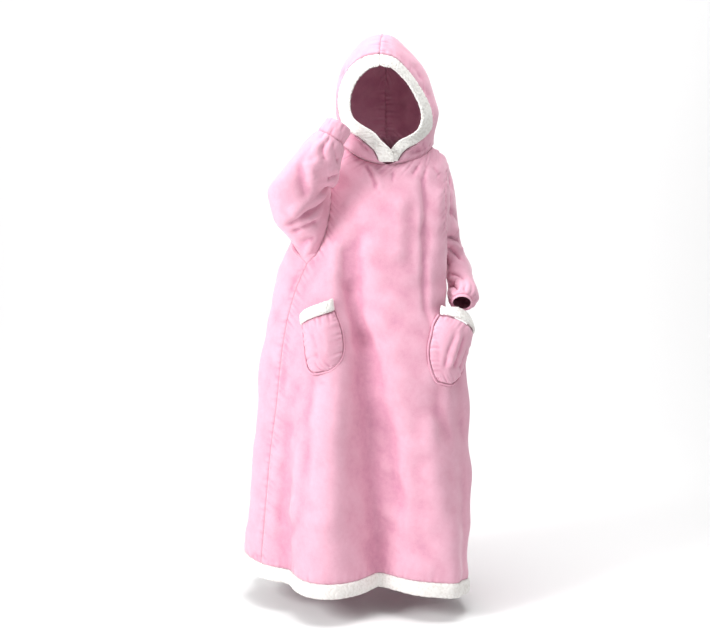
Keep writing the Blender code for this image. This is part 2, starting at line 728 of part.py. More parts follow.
def piping_line(side, samples=30):
    """The line of the raised piping down one side of a pocket, round its foot and up again."""
    beside = PIPING_RADIUS + 0.0014
    outline = [(-1.0, down) for down in np.linspace(0, 1, 13)]
    outline += [(across, 1.0) for across in np.linspace(-1, 1, 7)[1:-1]]
    outline += [(1.0, down) for down in np.linspace(1, 0, 13)]
    flat = np.array(
        [
            (pocket_reach(side, across, down), (down - 0.5) * pocket_value(side, "height"))
            for across, down in outline
        ]
    )
    steps = np.gradient(flat, axis=0)
    outward = unit(np.stack([-steps[:, 1], steps[:, 0]], axis=1))
    outward *= np.where((outward * (flat - (0, -0.02))).sum(axis=1) < 0, -1, 1)[:, None]
    line = []
    for across, down in spline(flat + outward * beside, np.linspace(0, 1, samples + 1)):
        place, way = pocket_place(side, across, down)
        line.append(place + way * (CLOTH / 2 + PIPING_RADIUS + 0.0022))
    return np.array(line)


def cord(name, line, radius, material):
    """A round cord on a line of points, as a curve with filled ends."""
    data = bpy.data.curves.new(name, "CURVE")
    data.dimensions = "3D"
    data.bevel_depth = radius
    data.bevel_resolution = 1
    data.use_fill_caps = True
    path = data.splines.new("POLY")
    path.points.add(len(line) - 1)
    for point, place in zip(path.points, line):
        point.co = (*place, 1.0)
    data.materials.append(material)
    made = bpy.data.objects.new(name, data)
    GARMENT.objects.link(made)
    return made


for left_over in list(bpy.data.objects):
    bpy.data.objects.remove(left_over)
GARMENT = bpy.data.collections.new("wearable blanket hoodie")
bpy.context.scene.collection.children.link(GARMENT)
plush = new_material("pink plush", PINK, 0.9)
sherpa = new_material("cream pile", CREAM, 1.0)

# The shared surface
front = panel_grid("right_front", "left_front", FRONT_COLUMNS)
back = panel_grid("left_back", "right_back", BACK_COLUMNS, past_back=True)
right_armhole = armhole_loop(front[:, 0], back[:, -1])
left_armhole = armhole_loop(front[:, -1], back[:, 0])
right_sleeve = sleeve_grid(right_armhole, RIGHT_SLEEVE)
left_sleeve = sleeve_grid(left_armhole, LEFT_SLEEVE)
right_way = unit(right_sleeve[-1].mean(axis=0) - right_sleeve[-3].mean(axis=0))
left_way = unit(left_sleeve[-1].mean(axis=0) - left_sleeve[-3].mean(axis=0))
right_cuff = cuff_grid(right_sleeve[-1], right_way, RIGHT_CUFF_LENGTH)
left_cuff = cuff_grid(left_sleeve[-1], left_way, LEFT_CUFF_LENGTH)
left_trim = trim_edges(LEFT_OUTER_EDGE, LEFT_INNER_EDGE, 1)
right_trim = trim_edges(RIGHT_OUTER_EDGE, RIGHT_INNER_EDGE, -1)
middle_front, middle_back = FRONT_COLUMNS // 2, BACK_COLUMNS // 2
left_neck = np.concatenate([front[0, middle_front + 1 :], back[0, 1 : middle_back + 1]])
right_neck = np.concatenate([front[0, middle_front - 1 :: -1], back[0, -2 : middle_back - 1 : -1]])
left_hood = hood_grid(left_neck, left_trim)
right_hood = hood_grid(right_neck, right_trim)
shared = (
    ("front_panel", front, False, 1),
    ("back_panel", back, False, 1),
    ("sleeve_right", right_sleeve, True, 1),
    ("sleeve_left", left_sleeve, True, -1),
    ("cuff_right", right_cuff, True, 1),
    ("cuff_left", left_cuff, True, -1),
    ("hood_left", left_hood, False, -1),
    ("hood_right", right_hood, False, 1),
)
normals = grid_normals(shared)
for name, grid, closed, _ in shared:
    wall(name, grid, normals[name], plush, closed)

# The pile band round the hem, which goes on from the lowest ring
hem_degrees = np.linspace(-180, 180, 57)[:-1]
hem_distances = [distance_at(HEM, d) for d in hem_degrees]
hem_edge = body_points(HEM, hem_distances)
above_edge = body_points(HEM - 0.4, [distance_at(HEM - 0.4, d) for d in hem_degrees])
hem_normals = np.array([body_normal(HEM - 0.06, d) for d in hem_distances])
hem_down = unit(hem_edge - above_edge)
band(
    "hem_band",
    hem_edge - hem_down * HEM_OVERLAP,
    hem_edge + hem_down * HEM_BAND,
    hem_normals,
    PILE + 0.002,
    sherpa,
    closed=True,
    sides=8,
)

# The pile bands round the face
band("hood_trim_left", *left_trim, PILE, sherpa)
band("hood_trim_right", *right_trim, PILE, sherpa)

# The pockets, each with its pile band and its raised piping
for side in ("right", "left"):
    points, directions = pocket_grids(side)
    wall(f"pocket_{side}", points, directions, plush)
    band(f"pocket_trim_{side}", *pocket_band_edges(side), PILE, sherpa)
    cord(f"pocket_piping_{side}", piping_line(side), PIPING_RADIUS, plush)
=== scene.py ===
"""The looks of a wearable blanket hoodie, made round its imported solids.

Metres, +Z up. The wearer faces -Y, so the wearer's right is at -X. Every cloth piece is a thin
shell of plush on its solid's own form, with the creases and the seams that the cloth takes in
wear, and every band is a strip of curly pile.
"""

import math
from functools import lru_cache

import bpy
import numpy as np
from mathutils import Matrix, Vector, noise


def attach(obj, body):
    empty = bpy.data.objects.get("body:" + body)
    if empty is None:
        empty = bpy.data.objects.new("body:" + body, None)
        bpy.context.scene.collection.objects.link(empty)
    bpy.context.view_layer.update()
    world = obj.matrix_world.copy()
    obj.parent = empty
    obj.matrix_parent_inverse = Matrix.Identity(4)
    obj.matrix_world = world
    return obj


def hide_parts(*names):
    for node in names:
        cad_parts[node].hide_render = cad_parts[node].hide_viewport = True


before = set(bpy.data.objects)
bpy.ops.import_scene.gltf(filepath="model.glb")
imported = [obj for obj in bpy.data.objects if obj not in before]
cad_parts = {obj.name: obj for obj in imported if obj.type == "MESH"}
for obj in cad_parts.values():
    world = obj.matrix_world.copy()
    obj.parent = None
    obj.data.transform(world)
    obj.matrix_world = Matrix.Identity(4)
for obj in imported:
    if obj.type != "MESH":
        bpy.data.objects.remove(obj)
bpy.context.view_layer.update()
bpy.ops.object.select_all(action="DESELECT")

# The front and the back are two panels of pink plush, cut wide and joined at the shoulders and
# the sides. The body is a stack of rings from the neck seam to the hem: how far each reaches at
# the wearer's right, left, front and back, where its sides are widest, the height at each side,
# and how full each quarter is.
RING_COLUMNS = (
    "x_right", "x_left", "y_front", "y_back", "y_right", "y_left",
    "z_right", "z_left", "z_front", "z_back",
    "bow_front_right", "bow_front_left", "bow_back_left", "bow_back_right",
)
RINGS = {
    "neck seam": (
        -0.128, 0.132, -0.138, 0.085, -0.02, -0.02,
        -0.008, -0.020, -0.074, 0.012, 1.0, 1.0, 1.0, 1.0,
    ),
    "yoke": (
        -0.150, 0.158, -0.150, 0.106, -0.01, -0.01,
        -0.020, -0.036, -0.106, -0.020, 1.0, 1.0, 1.0, 1.0,
    ),
    "shoulder point": (
        -0.168, 0.178, -0.160, 0.120, 0.00, 0.00,
        -0.038, -0.056, -0.142, -0.062, 0.95, 0.95, 1.0, 1.0,
    ),
    "high chest": (
        -0.205, 0.184, -0.170, 0.132, 0.02, -0.04,
        -0.125, -0.145, -0.205, -0.150, 0.95, 0.85, 1.1, 1.0,
    ),
    "chest": (
        -0.250, 0.178, -0.180, 0.138, 0.03, -0.07,
        -0.225, -0.250, -0.285, -0.255, 0.95, 0.80, 1.2, 1.0,
    ),
    "underarm": (
        -0.306, 0.174, -0.190, 0.145, 0.03, -0.08,
        -0.335, -0.365, -0.380, -0.370, 1.0, 0.78, 1.4, 0.95,
    ),
    "waist": (
        -0.356, 0.172, -0.200, 0.155, 0.03, -0.08,
        -0.480, -0.480, -0.480, -0.485, 1.0, 0.74, 1.4, 0.95,
    ),
    "pocket": (
        -0.378, 0.226, -0.214, 0.168, 0.03, -0.12,
        -0.625, -0.555, -0.600, -0.630, 1.0, 0.72, 1.1, 0.95,
    ),
    "thigh": (
        -0.390, 0.238, -0.216, 0.182, 0.02, -0.06,
        -0.800, -0.800, -0.800, -0.800, 1.0, 0.78, 0.95, 0.95,
    ),
    "knee": (
        -0.406, 0.243, -0.224, 0.196, 0.02, -0.06,
        -0.955, -0.965, -0.960, -0.960, 1.0, 0.80, 0.95, 0.95,
    ),
    "calf": (
        -0.424, 0.244, -0.230, 0.208, 0.02, -0.08,
        -1.105, -1.130, -1.118, -1.120, 1.0, 0.80, 0.95, 0.95,
    ),
    "hem": (
        -0.442, 0.240, -0.236, 0.220, 0.02, -0.10,
        -1.250, -1.300, -1.274, -1.280, 1.0, 0.82, 0.95, 0.95,
    ),
}
ARMHOLE_TOP = 2
ARMHOLE_BOTTOM = 5
HEM = len(RINGS) - 1
RING_SMOOTHING = 7.0
# Where the front and the back end at each side, in degrees from the centre front. Above the
# armholes this is the shoulder seam, beside them the armhole seam, and below them the side seam.
SEAM_COLUMNS = ("level", "right_front", "right_back", "left_front", "left_back")
SEAMS = (
    (0.0, 90, 90, 90, 90),
    (2.0, 90, 90, 90, 90),
    (2.35, 70, 97, 72, 108),
    (3.0, 54, 102, 64, 122),
    (3.6, 47, 103, 66, 128),
    (4.2, 44, 98, 74, 130),
    (4.7, 45, 82, 88, 123),
    (5.0, 50, 50, 108, 108),
    (7.0, 55, 55, 104, 104),
    (9.0, 60, 60, 102, 102),
    (11.0, 59, 59, 100, 100),
)
# The body's large folds: the direction of each at its top and at the hem in degrees from the
# centre front, its half width there, and how far it stands out, or in where that is negative.
FOLD_COLUMNS = (
    "top_level", "top_angle", "hem_angle", "top_width", "hem_width", "top_depth", "hem_depth",
)
FOLDS = {
    "ridge over the right knee": (4.5, -33, -23, 9, 13, 0.010, 0.058),
    "trough between the legs": (4.5, -20, 1, 6, 12, -0.016, -0.085),
    "ridge over the left knee": (5.5, 36, 42, 12, 15, 0.002, 0.030),
    "trough before the right seam": (8.0, -46, -44, 7, 7, 0.0, -0.020),
    "left chest drape": (2.6, 34, 30, 5, 5, -0.010, 0.0),
    "left side ridge": (6.5, 72, 76, 9, 10, 0.0, 0.008),
    "left back trough": (5.0, 118, 114, 8, 9, -0.006, -0.032),
    "left back ridge": (5.0, 140, 140, 8, 11, 0.004, 0.034),
    "back trough": (4.0, 163, 166, 8, 10, -0.006, -0.038),
    "centre back ridge": (4.0, 184, 190, 8, 11, 0.006, 0.036),
    "right back trough": (4.5, 212, 214, 9, 10, -0.006, -0.034),
    "right back ridge": (5.0, 238, 238, 9, 11, 0.006, 0.032),
    "right side trough": (6.0, 262, 262, 8, 9, -0.002, -0.020),
}
YOKE_ROWS = 22
ARMHOLE_ROWS = 60
SKIRT_ROWS = 140
FRONT_COLUMNS = 150
BACK_COLUMNS = 132
PLUSH = 0.004

# The creases of the body that the large folds leave out: how wide each is, how far it goes in,
# or stands out where that is above 0, and the points that it runs through.
BODY_CREASES = (
    ("chest drape under the raised arm", 0.007, -0.007,
     ((-.078, -.128, -.045), (-.067, -.133, -.062), (-.057, -.135, -.083), (-.04, -.152, -.118),
      (-.028, -.161, -.152))),
    ("lip beside the chest drape", 0.009, 0.004,
     ((-.06, -.135, -.055), (-.047, -.14, -.075), (-.034, -.147, -.101), (-.017, -.162, -.152))),
    ("left neck gather", 0.006, -0.004,
     ((.097, -.109, -.063), (.084, -.126, -.083), (.069, -.141, -.106))),
    ("left neck gather beside it", 0.006, -0.003,
     ((.114, -.102, -.068), (.108, -.12, -.095), (.101, -.135, -.129))),
    ("left shoulder drag", 0.01, -0.003,
     ((.129, -.098, -.077), (.141, -.098, -.091), (.153, -.097, -.109))),
    ("right neck gather", 0.006, -0.003,
     ((.012, -.14, -.078), (.015, -.149, -.101), (.012, -.157, -.129))),
    ("left chest fall", 0.022, -0.0045,
     ((.125, -.114, -.103), (.127, -.14, -.175), (.124, -.155, -.246), (.121, -.165, -.323),
      (.124, -.172, -.403))),
    ("left chest crown", 0.02, 0.004,
     ((.149, -.11, -.132), (.151, -.136, -.218), (.151, -.146, -.303))),
    ("chest fall beside it", 0.024, -0.003,
     ((.075, -.145, -.123), (.069, -.168, -.217), (.066, -.181, -.316), (.071, -.19, -.415))),
    ("breast soft fall", 0.026, 0.004,
     ((.04, -.159, -.146), (.034, -.177, -.259), (.034, -.19, -.373))),
    ("underarm fall", 0.02, -0.004,
     ((-.12, -.159, -.274), (-.128, -.167, -.351), (-.128, -.175, -.431), (-.117, -.181, -.517))),
    ("underarm crown", 0.02, 0.005,
     ((-.143, -.157, -.289), (-.148, -.166, -.351), (-.146, -.177, -.416))),
    ("main front fall, upper", 0.022, -0.017,
     ((-.108, -.166, -.38), (-.103, -.169, -.437), (-.091, -.173, -.503), (-.071, -.177, -.575),
      (-.048, -.18, -.647))),
    ("main front fall, middle", 0.042, -0.022,
     ((-.062, -.179, -.59), (-.033, -.187, -.69), (-.01, -.194, -.791), (.007, -.198, -.893),
      (.019, -.199, -1.011), (.026, -.195, -1.162))),
    ("fall inside the right knee", 0.026, -0.007,
     ((-.2, -.198, -.587), (-.217, -.198, -.688), (-.23, -.196, -.805), (-.236, -.204, -.921),
      (-.238, -.217, -1.036))),
    ("right knee crown", 0.046, 0.02,
     ((-.145, -.199, -.572), (-.148, -.208, -.687), (-.154, -.216, -.801), (-.16, -.229, -.93),
      (-.166, -.243, -1.058), (-.171, -.258, -1.201))),
    ("right thigh fall", 0.022, -0.007,
     ((-.284, -.141, -.757), (-.297, -.138, -.877), (-.307, -.139, -.997), (-.317, -.141, -1.149),
      (-.323, -.143, -1.258))),
    ("low right crown", 0.02, 0.007,
     ((-.254, -.178, -.868), (-.266, -.177, -1.017), (-.276, -.175, -1.168))),
    ("left knee crown", 0.04, 0.012,
     ((.103, -.212, -.715), (.128, -.21, -.861), (.146, -.216, -1.007), (.164, -.226, -1.182))),
    ("left thigh fall", 0.026, -0.006,
     ((.15, -.204, -.716), (.171, -.199, -.834), (.184, -.203, -.981), (.19, -.217, -1.155))),
    ("left low fall", 0.03, -0.006,
     ((.07, -.215, -.86), (.082, -.221, -.991), (.088, -.223, -1.123), (.092, -.225, -1.227))),
    ("below the right pocket", 0.01, -0.004,
     ((-.2, -.206, -.687), (-.177, -.211, -.698), (-.148, -.209, -.71))),
    ("side drag, high", 0.013, -0.007,
     ((-.255, -.098, -.373), (-.273, -.098, -.414), (-.291, -.097, -.467))),
    ("side drag, low", 0.018, -0.006,
     ((-.29, -.118, -.553), (-.306, -.115, -.643), (-.312, -.118, -.761))),
    ("back neck gather, right", 0.008, -0.004,
     ((.019, .086, .007), (.024, .1, -.014), (.036, .113, -.047))),
    ("back neck gather, left", 0.008, -0.004,
     ((-.027, .085, .007), (-.033, .099, -.013), (-.048, .113, -.055))),
    ("back neck gather, far left", 0.008, -0.003,
     ((.067, .073, .002), (.084, .085, -.02), (.105, .089, -.044))),
    ("back neck gather, far right", 0.008, -0.003,
     ((-.073, .069, .003), (-.087, .079, -.014), (-.107, .085, -.041))),
    ("right shoulder blade drag", 0.022, -0.0145,
     ((-.142, .058, -.043), (-.145, .092, -.119), (-.13, .116, -.215), (-.113, .129, -.307))),
    ("left shoulder blade drag", 0.022, -0.013,
     ((.145, .068, -.059), (.123, .08, -.138), (.079, .104, -.232), (.039, .117, -.323))),
    ("right back fall from the arm", 0.022, -0.0159,
     ((-.215, .064, -.19), (-.248, .088, -.302), (-.277, .107, -.428), (-.288, .122, -.597))),
    ("right back crown from the arm", 0.024, 0.0116,
     ((-.191, .08, -.174), (-.215, .105, -.308), (-.229, .121, -.457))),
    ("left back fall from the arm", 0.02, -0.013,
     ((.123, .067, -.209), (.113, .057, -.321), (.1, .078, -.437), (.128, .105, -.581))),
    ("centre back fall, high", 0.026, -0.0116,
     ((-.006, .134, -.169), (-.019, .146, -.3), (-.013, .156, -.437), (-.002, .169, -.598))),
    ("centre back crown", 0.026, 0.0101,
     ((.029, .127, -.211), (.015, .133, -.347), (.016, .136, -.485))),
    ("back fall, low left", 0.028, -0.0159,
     ((.074, .12, -.547), (.11, .154, -.8), (.119, .172, -1.041), (.125, .185, -1.267))),
    ("back fall, low middle", 0.03, -0.0159,
     ((0, .156, -.511), (.009, .18, -.766), (.004, .204, -1.024), (-.008, .227, -1.264))),
    ("back fall, low right", 0.028, -0.0159,
     ((-.134, .156, -.599), (-.152, .17, -.833), (-.167, .185, -1.055), (-.178, .201, -1.261))),
    ("back fall, far right", 0.024, -0.013,
     ((-.256, .123, -.538), (-.282, .133, -.766), (-.308, .147, -1.02), (-.321, .161, -1.253))),
    ("back crown, low left", 0.024, 0.0116,
     ((.183, .072, -.691), (.195, .101, -.962), (.197, .098, -1.257))),
    ("right side fall", 0.024, -0.0145,
     ((-.324, .006, -.392), (-.371, .018, -.594), (-.389, .017, -.864), (-.43, .01, -1.222))),
    ("right side crown", 0.024, 0.0101,
     ((-.329, -.04, -.452), (-.369, -.032, -.691), (-.393, -.035, -.956), (-.422, -.041, -1.224))),
    ("right seat drag", 0.018, -0.0087,
     ((-.333, .047, -.421), (-.332, .08, -.481), (-.311, .108, -.524))),
    ("left side fall", 0.022, -0.013,
     ((.216, -.126, -.538), (.238, -.071, -.837), (.243, -.076, -1.063), (.241, -.098, -1.265))),
    ("left side crown", 0.022, 0.0087,
     ((.224, -.149, -.596), (.237, -.114, -.901), (.242, -.135, -1.195))),
)


def curve(knots, values, at):
    """A smooth curve through a table's column that never swings past its values."""
    knots, values = np.asarray(knots, float), np.asarray(values, float)
    spans = np.diff(knots)
    shape = (-1,) + (1,) * (values.ndim - 1)
    slopes = np.diff(values, axis=0) / spans.reshape(shape)
    tangents = np.zeros_like(values)
    before, after = slopes[:-1], slopes[1:]
    same_way = before * after > 0
    total = np.where(same_way, before + after, 1.0)
    tangents[1:-1] = np.where(same_way, 2 * before * after / total, 0.0)
    tangents[0], tangents[-1] = slopes[0], slopes[-1]
    at = np.atleast_1d(np.asarray(at, float))
    k = np.clip(np.searchsorted(knots, at, side="right") - 1, 0, len(spans) - 1)
    span = spans[k]
    f = np.clip((at - knots[k]) / span, 0, 1).reshape(shape)
    span = span.reshape(shape)
    return (
        (2 * f**3 - 3 * f**2 + 1) * values[k]
        + (f**3 - 2 * f**2 + f) * span * tangents[k]
        + (3 * f**2 - 2 * f**3) * values[k + 1]
        + (f**3 - f**2) * span * tangents[k + 1]
    )


def spline(points, shares):
    """A smooth curve through named points, read at shares of its length from 0 to 1."""
    points = np.array(points, float)
    steps = np.linalg.norm(np.diff(points, axis=0), axis=1)
    knots = np.concatenate([[0], np.cumsum(steps)]) / steps.sum()
    tangents = np.gradient(points, knots, axis=0)
    at = np.atleast_1d(np.asarray(shares, float))
    k = np.clip(np.searchsorted(knots, at, side="right") - 1, 0, len(knots) - 2)
    span = (knots[k + 1] - knots[k])[:, None]
    f = ((at - knots[k]) / span[:, 0])[:, None]
    return (
        (2 * f**3 - 3 * f**2 + 1) * points[k]
        + (f**3 - 2 * f**2 + f) * span * tangents[k]
        + (3 * f**2 - 2 * f**3) * points[k + 1]
        + (f**3 - f**2) * span * tangents[k + 1]
    )


def unit(vectors):
    lengths = np.linalg.norm(vectors, axis=-1, keepdims=True)
    return vectors / np.maximum(lengths, 1e-12)


def ring_row(level):
    """The ring table's row at a level, which may lie between two named rings."""
    table = np.array(list(RINGS.values()))
    return dict(zip(RING_COLUMNS, curve(np.arange(len(table)), table, level)[0]))


def fold_offsets(level, degrees):
    """How far the folds move a ring outwards at each direction."""
    moved = np.zeros_like(degrees)
    for values in FOLDS.values():
        fold = dict(zip(FOLD_COLUMNS, values))
        share = (level - fold["top_level"]) / (HEM - fold["top_level"])
        fade = np.clip(share / 0.15 + 1, 0, 1)
        share = np.clip(share, 0, 1)
        angle = fold["top_angle"] + (fold["hem_angle"] - fold["top_angle"]) * share
        width = fold["top_width"] + (fold["hem_width"] - fold["top_width"]) * share
        depth = fold["top_depth"] + (fold["hem_depth"] - fold["top_depth"]) * share**1.2
        away = (degrees - angle + 180) % 360 - 180
        moved += fade * depth * np.exp(-((away / width) ** 2))
    return moved


@lru_cache(maxsize=None)
def ring(level):
    """A closed ring of the body: its points at each degree from the centre front towards the
    wearer's left, those degrees from -180 to 180, and the distance along it from the front."""
    row = ring_row(level)
    degrees = np.arange(-180.0, 181.0)
    sine, cosine = np.sin(np.radians(degrees)), np.cos(np.radians(degrees))
    left, front = sine >= 0, cosine >= 0
    bow = np.where(
        front,
        np.where(left, row["bow_front_left"], row["bow_front_right"]),
        np.where(left, row["bow_back_left"], row["bow_back_right"]),
    )
    y_side = np.where(left, row["y_left"], row["y_right"])
    z_side = np.where(left, row["z_left"], row["z_right"])
    y_end = np.where(front, row["y_front"], row["y_back"])
    z_end = np.where(front, row["z_front"], row["z_back"])
    points = np.stack(
        [
            np.where(left, row["x_left"], row["x_right"]) * np.abs(sine) ** bow,
            y_side + (y_end - y_side) * np.abs(cosine) ** bow,
            z_side + (z_end - z_side) * np.abs(cosine) ** 1.4,
        ],
        axis=1,
    )
    reach = int(3 * RING_SMOOTHING)
    weights = np.exp(-0.5 * (np.arange(-reach, reach + 1) / RING_SMOOTHING) ** 2)
    weights /= weights.sum()
    loop = np.concatenate([points[-1 - reach : -1], points, points[1 : 1 + reach]])
    points = np.stack([np.convolve(loop[:, k], weights, "valid") for k in range(3)], axis=1)
    centre = np.array([points[:, 0].mean(), points[:, 1].mean(), 0.0])
    outward = unit((points - centre) * (1, 1, 0))
    points = points + outward * fold_offsets(level, degrees)[:, None]
    along = np.concatenate([[0], np.cumsum(np.linalg.norm(np.diff(points, axis=0), axis=1))])
    return points, degrees, along - along[180]


def distance_at(level, degrees):
    """How far along its ring a direction lies, from the centre front."""
    _, all_degrees, along = ring(level)
    return float(np.interp(degrees, all_degrees, along))


def body_points(level, distances):
    """Points on the body's surface at a level, at distances along the ring from the front."""
    points, _, along = ring(level)
    whole = along[-1] - along[0]
    wrapped = (np.asarray(distances) - along[0]) % whole + along[0]
    return np.stack([np.interp(wrapped, along, points[:, k]) for k in range(3)], axis=-1)


def seam(name, level):
    """The direction of a seam at a level, in degrees: the right side's is below 0."""
    table = np.array(SEAMS, float)
    if level >= ARMHOLE_BOTTOM:
        table = table[table[:, 0] >= ARMHOLE_BOTTOM]
    value = float(curve(table[:, 0], table[:, SEAM_COLUMNS.index(name)], level)[0])
    return -value if name.startswith("right") else value


def body_levels():
    return np.concatenate(
        [
            np.linspace(0, ARMHOLE_TOP, YOKE_ROWS + 1)[:-1],
            np.linspace(ARMHOLE_TOP, ARMHOLE_BOTTOM, ARMHOLE_ROWS + 1)[:-1],
            np.linspace(ARMHOLE_BOTTOM, HEM, SKIRT_ROWS + 1),
        ]
    )


def panel_grid(start_seam, end_seam, columns, past_back=False):
    """The front or the back as rows of points, from one seam to the other on every ring."""
    rows = []
    for level in body_levels():
        start = distance_at(level, seam(start_seam, level))
        end = distance_at(level, seam(end_seam, level))
        if past_back:
            _, _, along = ring(level)
            end += along[-1] - along[0]
        rows.append(body_points(level, np.linspace(start, end, columns + 1)))
    return np.array(rows)


def outward(grid, closed, side):
    """The direction out of the cloth at every point."""
    if closed:
        across = np.roll(grid, -1, axis=1) - np.roll(grid, 1, axis=1)
    else:
        across = np.gradient(grid, axis=1)
    return unit(np.cross(np.gradient(grid, axis=0), across)) * side


def lengths(grid, axis):
    """How far each point lies along its row or column, from the grid's first edge."""
    steps = np.linalg.norm(np.diff(grid, axis=axis), axis=2)
    return np.insert(np.cumsum(steps, axis=axis), 0, 0.0, axis=axis)


def from_seams(grid, closed):
    """How far each point is from the nearest sewn edge, and how far along that edge it lies."""
    down, across = lengths(grid, 0), lengths(grid, 1)
    ways = [(down, across), (down[-1:] - down, across + 7.0)]
    if not closed:
        ways += [(across, down + 3.0), (across[:, -1:] - across, down + 5.0)]
    away = np.stack([a for a, _ in ways])
    nearest = away.argmin(axis=0)
    return away.min(axis=0), np.take_along_axis(np.stack([s for _, s in ways]), nearest[None], 0)[0]


def ripple(along, size, seed):
    """An uneven wave of about one size, between -1 and 1."""
    chance = np.random.default_rng(seed)
    wave = 0
    for part in (0.62, 0.85, 1.13, 1.6):
        wave = wave + np.sin(2 * np.pi * along / (size * part) + chance.uniform(0, 6.28)) * 0.45
    return wave


def swell(points, size, seed):
    """A soft unevenness of about one size all through space, between about -1 and 1."""
    chance = np.random.default_rng(seed)
    wave = 0
    for _ in range(9):
        way = unit(chance.normal(size=3)) / (size * chance.uniform(0.7, 1.5))
        wave = wave + np.sin(2 * np.pi * (points @ way) + chance.uniform(0, 6.28)) / 3
    return wave


def crease_depths(points, creases):
    """How far the creases move each point. A crease fades at both of its ends."""
    flat = points.reshape(-1, 3)
    moved = np.zeros(len(flat))
    for _, width, depth, through in creases:
        line = spline(through, np.linspace(0, 1, 25))
        near = np.all(
            (flat > line.min(axis=0) - 3 * width) & (flat < line.max(axis=0) + 3 * width), axis=1
        )
        if not near.any():
            continue
        some = flat[near]
        ends = line[:-1], line[1:] - line[:-1]
        reach = some[:, None] - ends[0][None]
        share = np.clip((reach * ends[1]).sum(axis=2) / (ends[1] ** 2).sum(axis=1), 0, 1)
        gap = np.linalg.norm(reach - share[..., None] * ends[1], axis=2)
        k = gap.argmin(axis=1)
        rows = np.arange(len(some))
        along = (k + share[rows, k]) / len(ends[1])
        fade = np.clip(np.minimum(along, 1 - along) / 0.22, 0, 1)
        wander = 1 + 0.25 * ripple(along, 0.45, len(through) + int(width * 1e4))
        spread = width * (1 + 0.5 * (1 - fade))
        shape = np.exp(-((gap[rows, k] / spread) ** 2))
        moved[near] += depth * shape * (0.25 + 0.75 * fade * fade * (3 - 2 * fade)) * wander
    return moved.reshape(points.shape[:2])


def worn(grid, closed, side, creases, seed, uneven=0.0024, pucker=0.0013):
    """The cloth's middle surface as wear leaves it: creased, uneven, and drawn up at its seams."""
    away, along = from_seams(grid, closed)
    free = 1 - np.exp(-((away / 0.016) ** 2))
    move = crease_depths(grid, creases) * free
    move += (swell(grid, 0.17, seed) + 0.55 * swell(grid, 0.075, seed + 1)) * uneven * free
    near_seam = away / 0.009 * np.exp(1 - away / 0.009)
    move += ripple(along, 0.021, seed + 2) * pucker * near_seam
    return grid + outward(grid, closed, side) * move[..., None]


def cavity(grid, way, closed):
    """How hollow the cloth is at each point, from -1 on a crown to 1 in a trough."""
    total = 0
    for reach in (2, 5, 9):
        for axis in (0, 1):
            if axis == 1 and closed:
                both = np.roll(grid, reach, axis=1) + np.roll(grid, -reach, axis=1)
                size = np.linalg.norm(np.roll(grid, reach, axis=1) - grid, axis=2)
            else:
                edge = [(reach, reach) if a == axis else (0, 0) for a in range(3)]
                wide = np.pad(grid, edge, mode="edge")
                first = wide[: grid.shape[0]] if axis == 0 else wide[:, : grid.shape[1]]
                last = wide[2 * reach :] if axis == 0 else wide[:, 2 * reach :]
                both = first + last
                size = np.linalg.norm(first - last, axis=2) / 2
            bend = ((both / 2 - grid) * way).sum(axis=2) / np.maximum(size, 1e-5)
            total = total + bend
    return np.clip(total * 2.2, -1, 1)


def shell(name, grid, closed, side, material, thickness=PLUSH):
    """A thin closed shell of plush. It is full in the middle and pinched along its sewn edges."""
    rows, columns = grid.shape[:2]
    away, _ = from_seams(grid, closed)
    way = outward(grid, closed, side)
    puff = 0.0009 * away / 0.010 * np.exp(1 - away / 0.010)
    half = thickness / 2 * (1 - 0.9 * np.exp(-((away / 0.0035) ** 2))) + puff
    outer = (grid + way * half[..., None]).reshape(-1, 3)
    inner = (grid - way * half[..., None]).reshape(-1, 3)
    number = np.arange(rows * columns).reshape(rows, columns)
    if closed:
        number = np.concatenate([number, number[:, :1]], axis=1)
    corners = [number[:-1, :-1], number[1:, :-1], number[1:, 1:], number[:-1, 1:]]
    skin = np.stack(corners, axis=2).reshape(-1, 4)
    back = skin[:, ::-1] + rows * columns
    edges = [number[0], number[-1][::-1]]
    if not closed:
        edges += [number[::-1, 0], number[:, -1]]
    rims = []
    for edge in edges:
        under = edge + rows * columns
        rims.append(np.stack([edge[:-1], edge[1:], under[1:], under[:-1]], axis=1))
    faces = np.concatenate([skin, back] + rims)
    if side < 0:
        faces = faces[:, ::-1]
    mesh = bpy.data.meshes.new(name)
    mesh.from_pydata(np.concatenate([outer, inner]).tolist(), [], faces.tolist())
    mesh.validate()
    # The hollow is kept for the plush's painted shade in the folds' troughs and painted light on their
    # crowns.
    hollow = cavity(grid, way, closed).reshape(-1)
    mesh.attributes.new("hollow", "FLOAT", "POINT").data.foreach_set(
        "value", np.concatenate([hollow, -hollow]).astype(np.float32)
    )
    mesh.materials.append(material)
    mesh.shade_smooth()
    made = bpy.data.objects.new(name, mesh)
    bpy.context.scene.collection.objects.link(made)
    return made


def fabric(name, roughness, specular, sheen, sheen_roughness, tint):
    """A new matt fabric with a sheen: its material, its nodes and its shader."""
    material = bpy.data.materials.new(name)
    material.use_nodes = True
    tree = material.node_tree
    shader = tree.nodes["Principled BSDF"]
    shader.inputs["Roughness"].default_value = roughness
    shader.inputs["Specular IOR Level"].default_value = specular
    shader.inputs["Sheen Weight"].default_value = sheen
    shader.inputs["Sheen Roughness"].default_value = sheen_roughness
    shader.inputs["Sheen Tint"].default_value = tint
    return material, tree, shader


def texture(tree, kind, **values):
    """A texture in the object's own coordinates."""
    place = tree.nodes.new("ShaderNodeTexCoord")
    made = tree.nodes.new(kind)
    for name, value in values.items():
        made.inputs[name].default_value = value
    tree.links.new(place.outputs["Object"], made.inputs["Vector"])
    return made


def attribute(tree, name):
    """A value that the mesh holds at every point."""
    made = tree.nodes.new("ShaderNodeAttribute")
    made.attribute_name = name
    return made.outputs["Fac"]


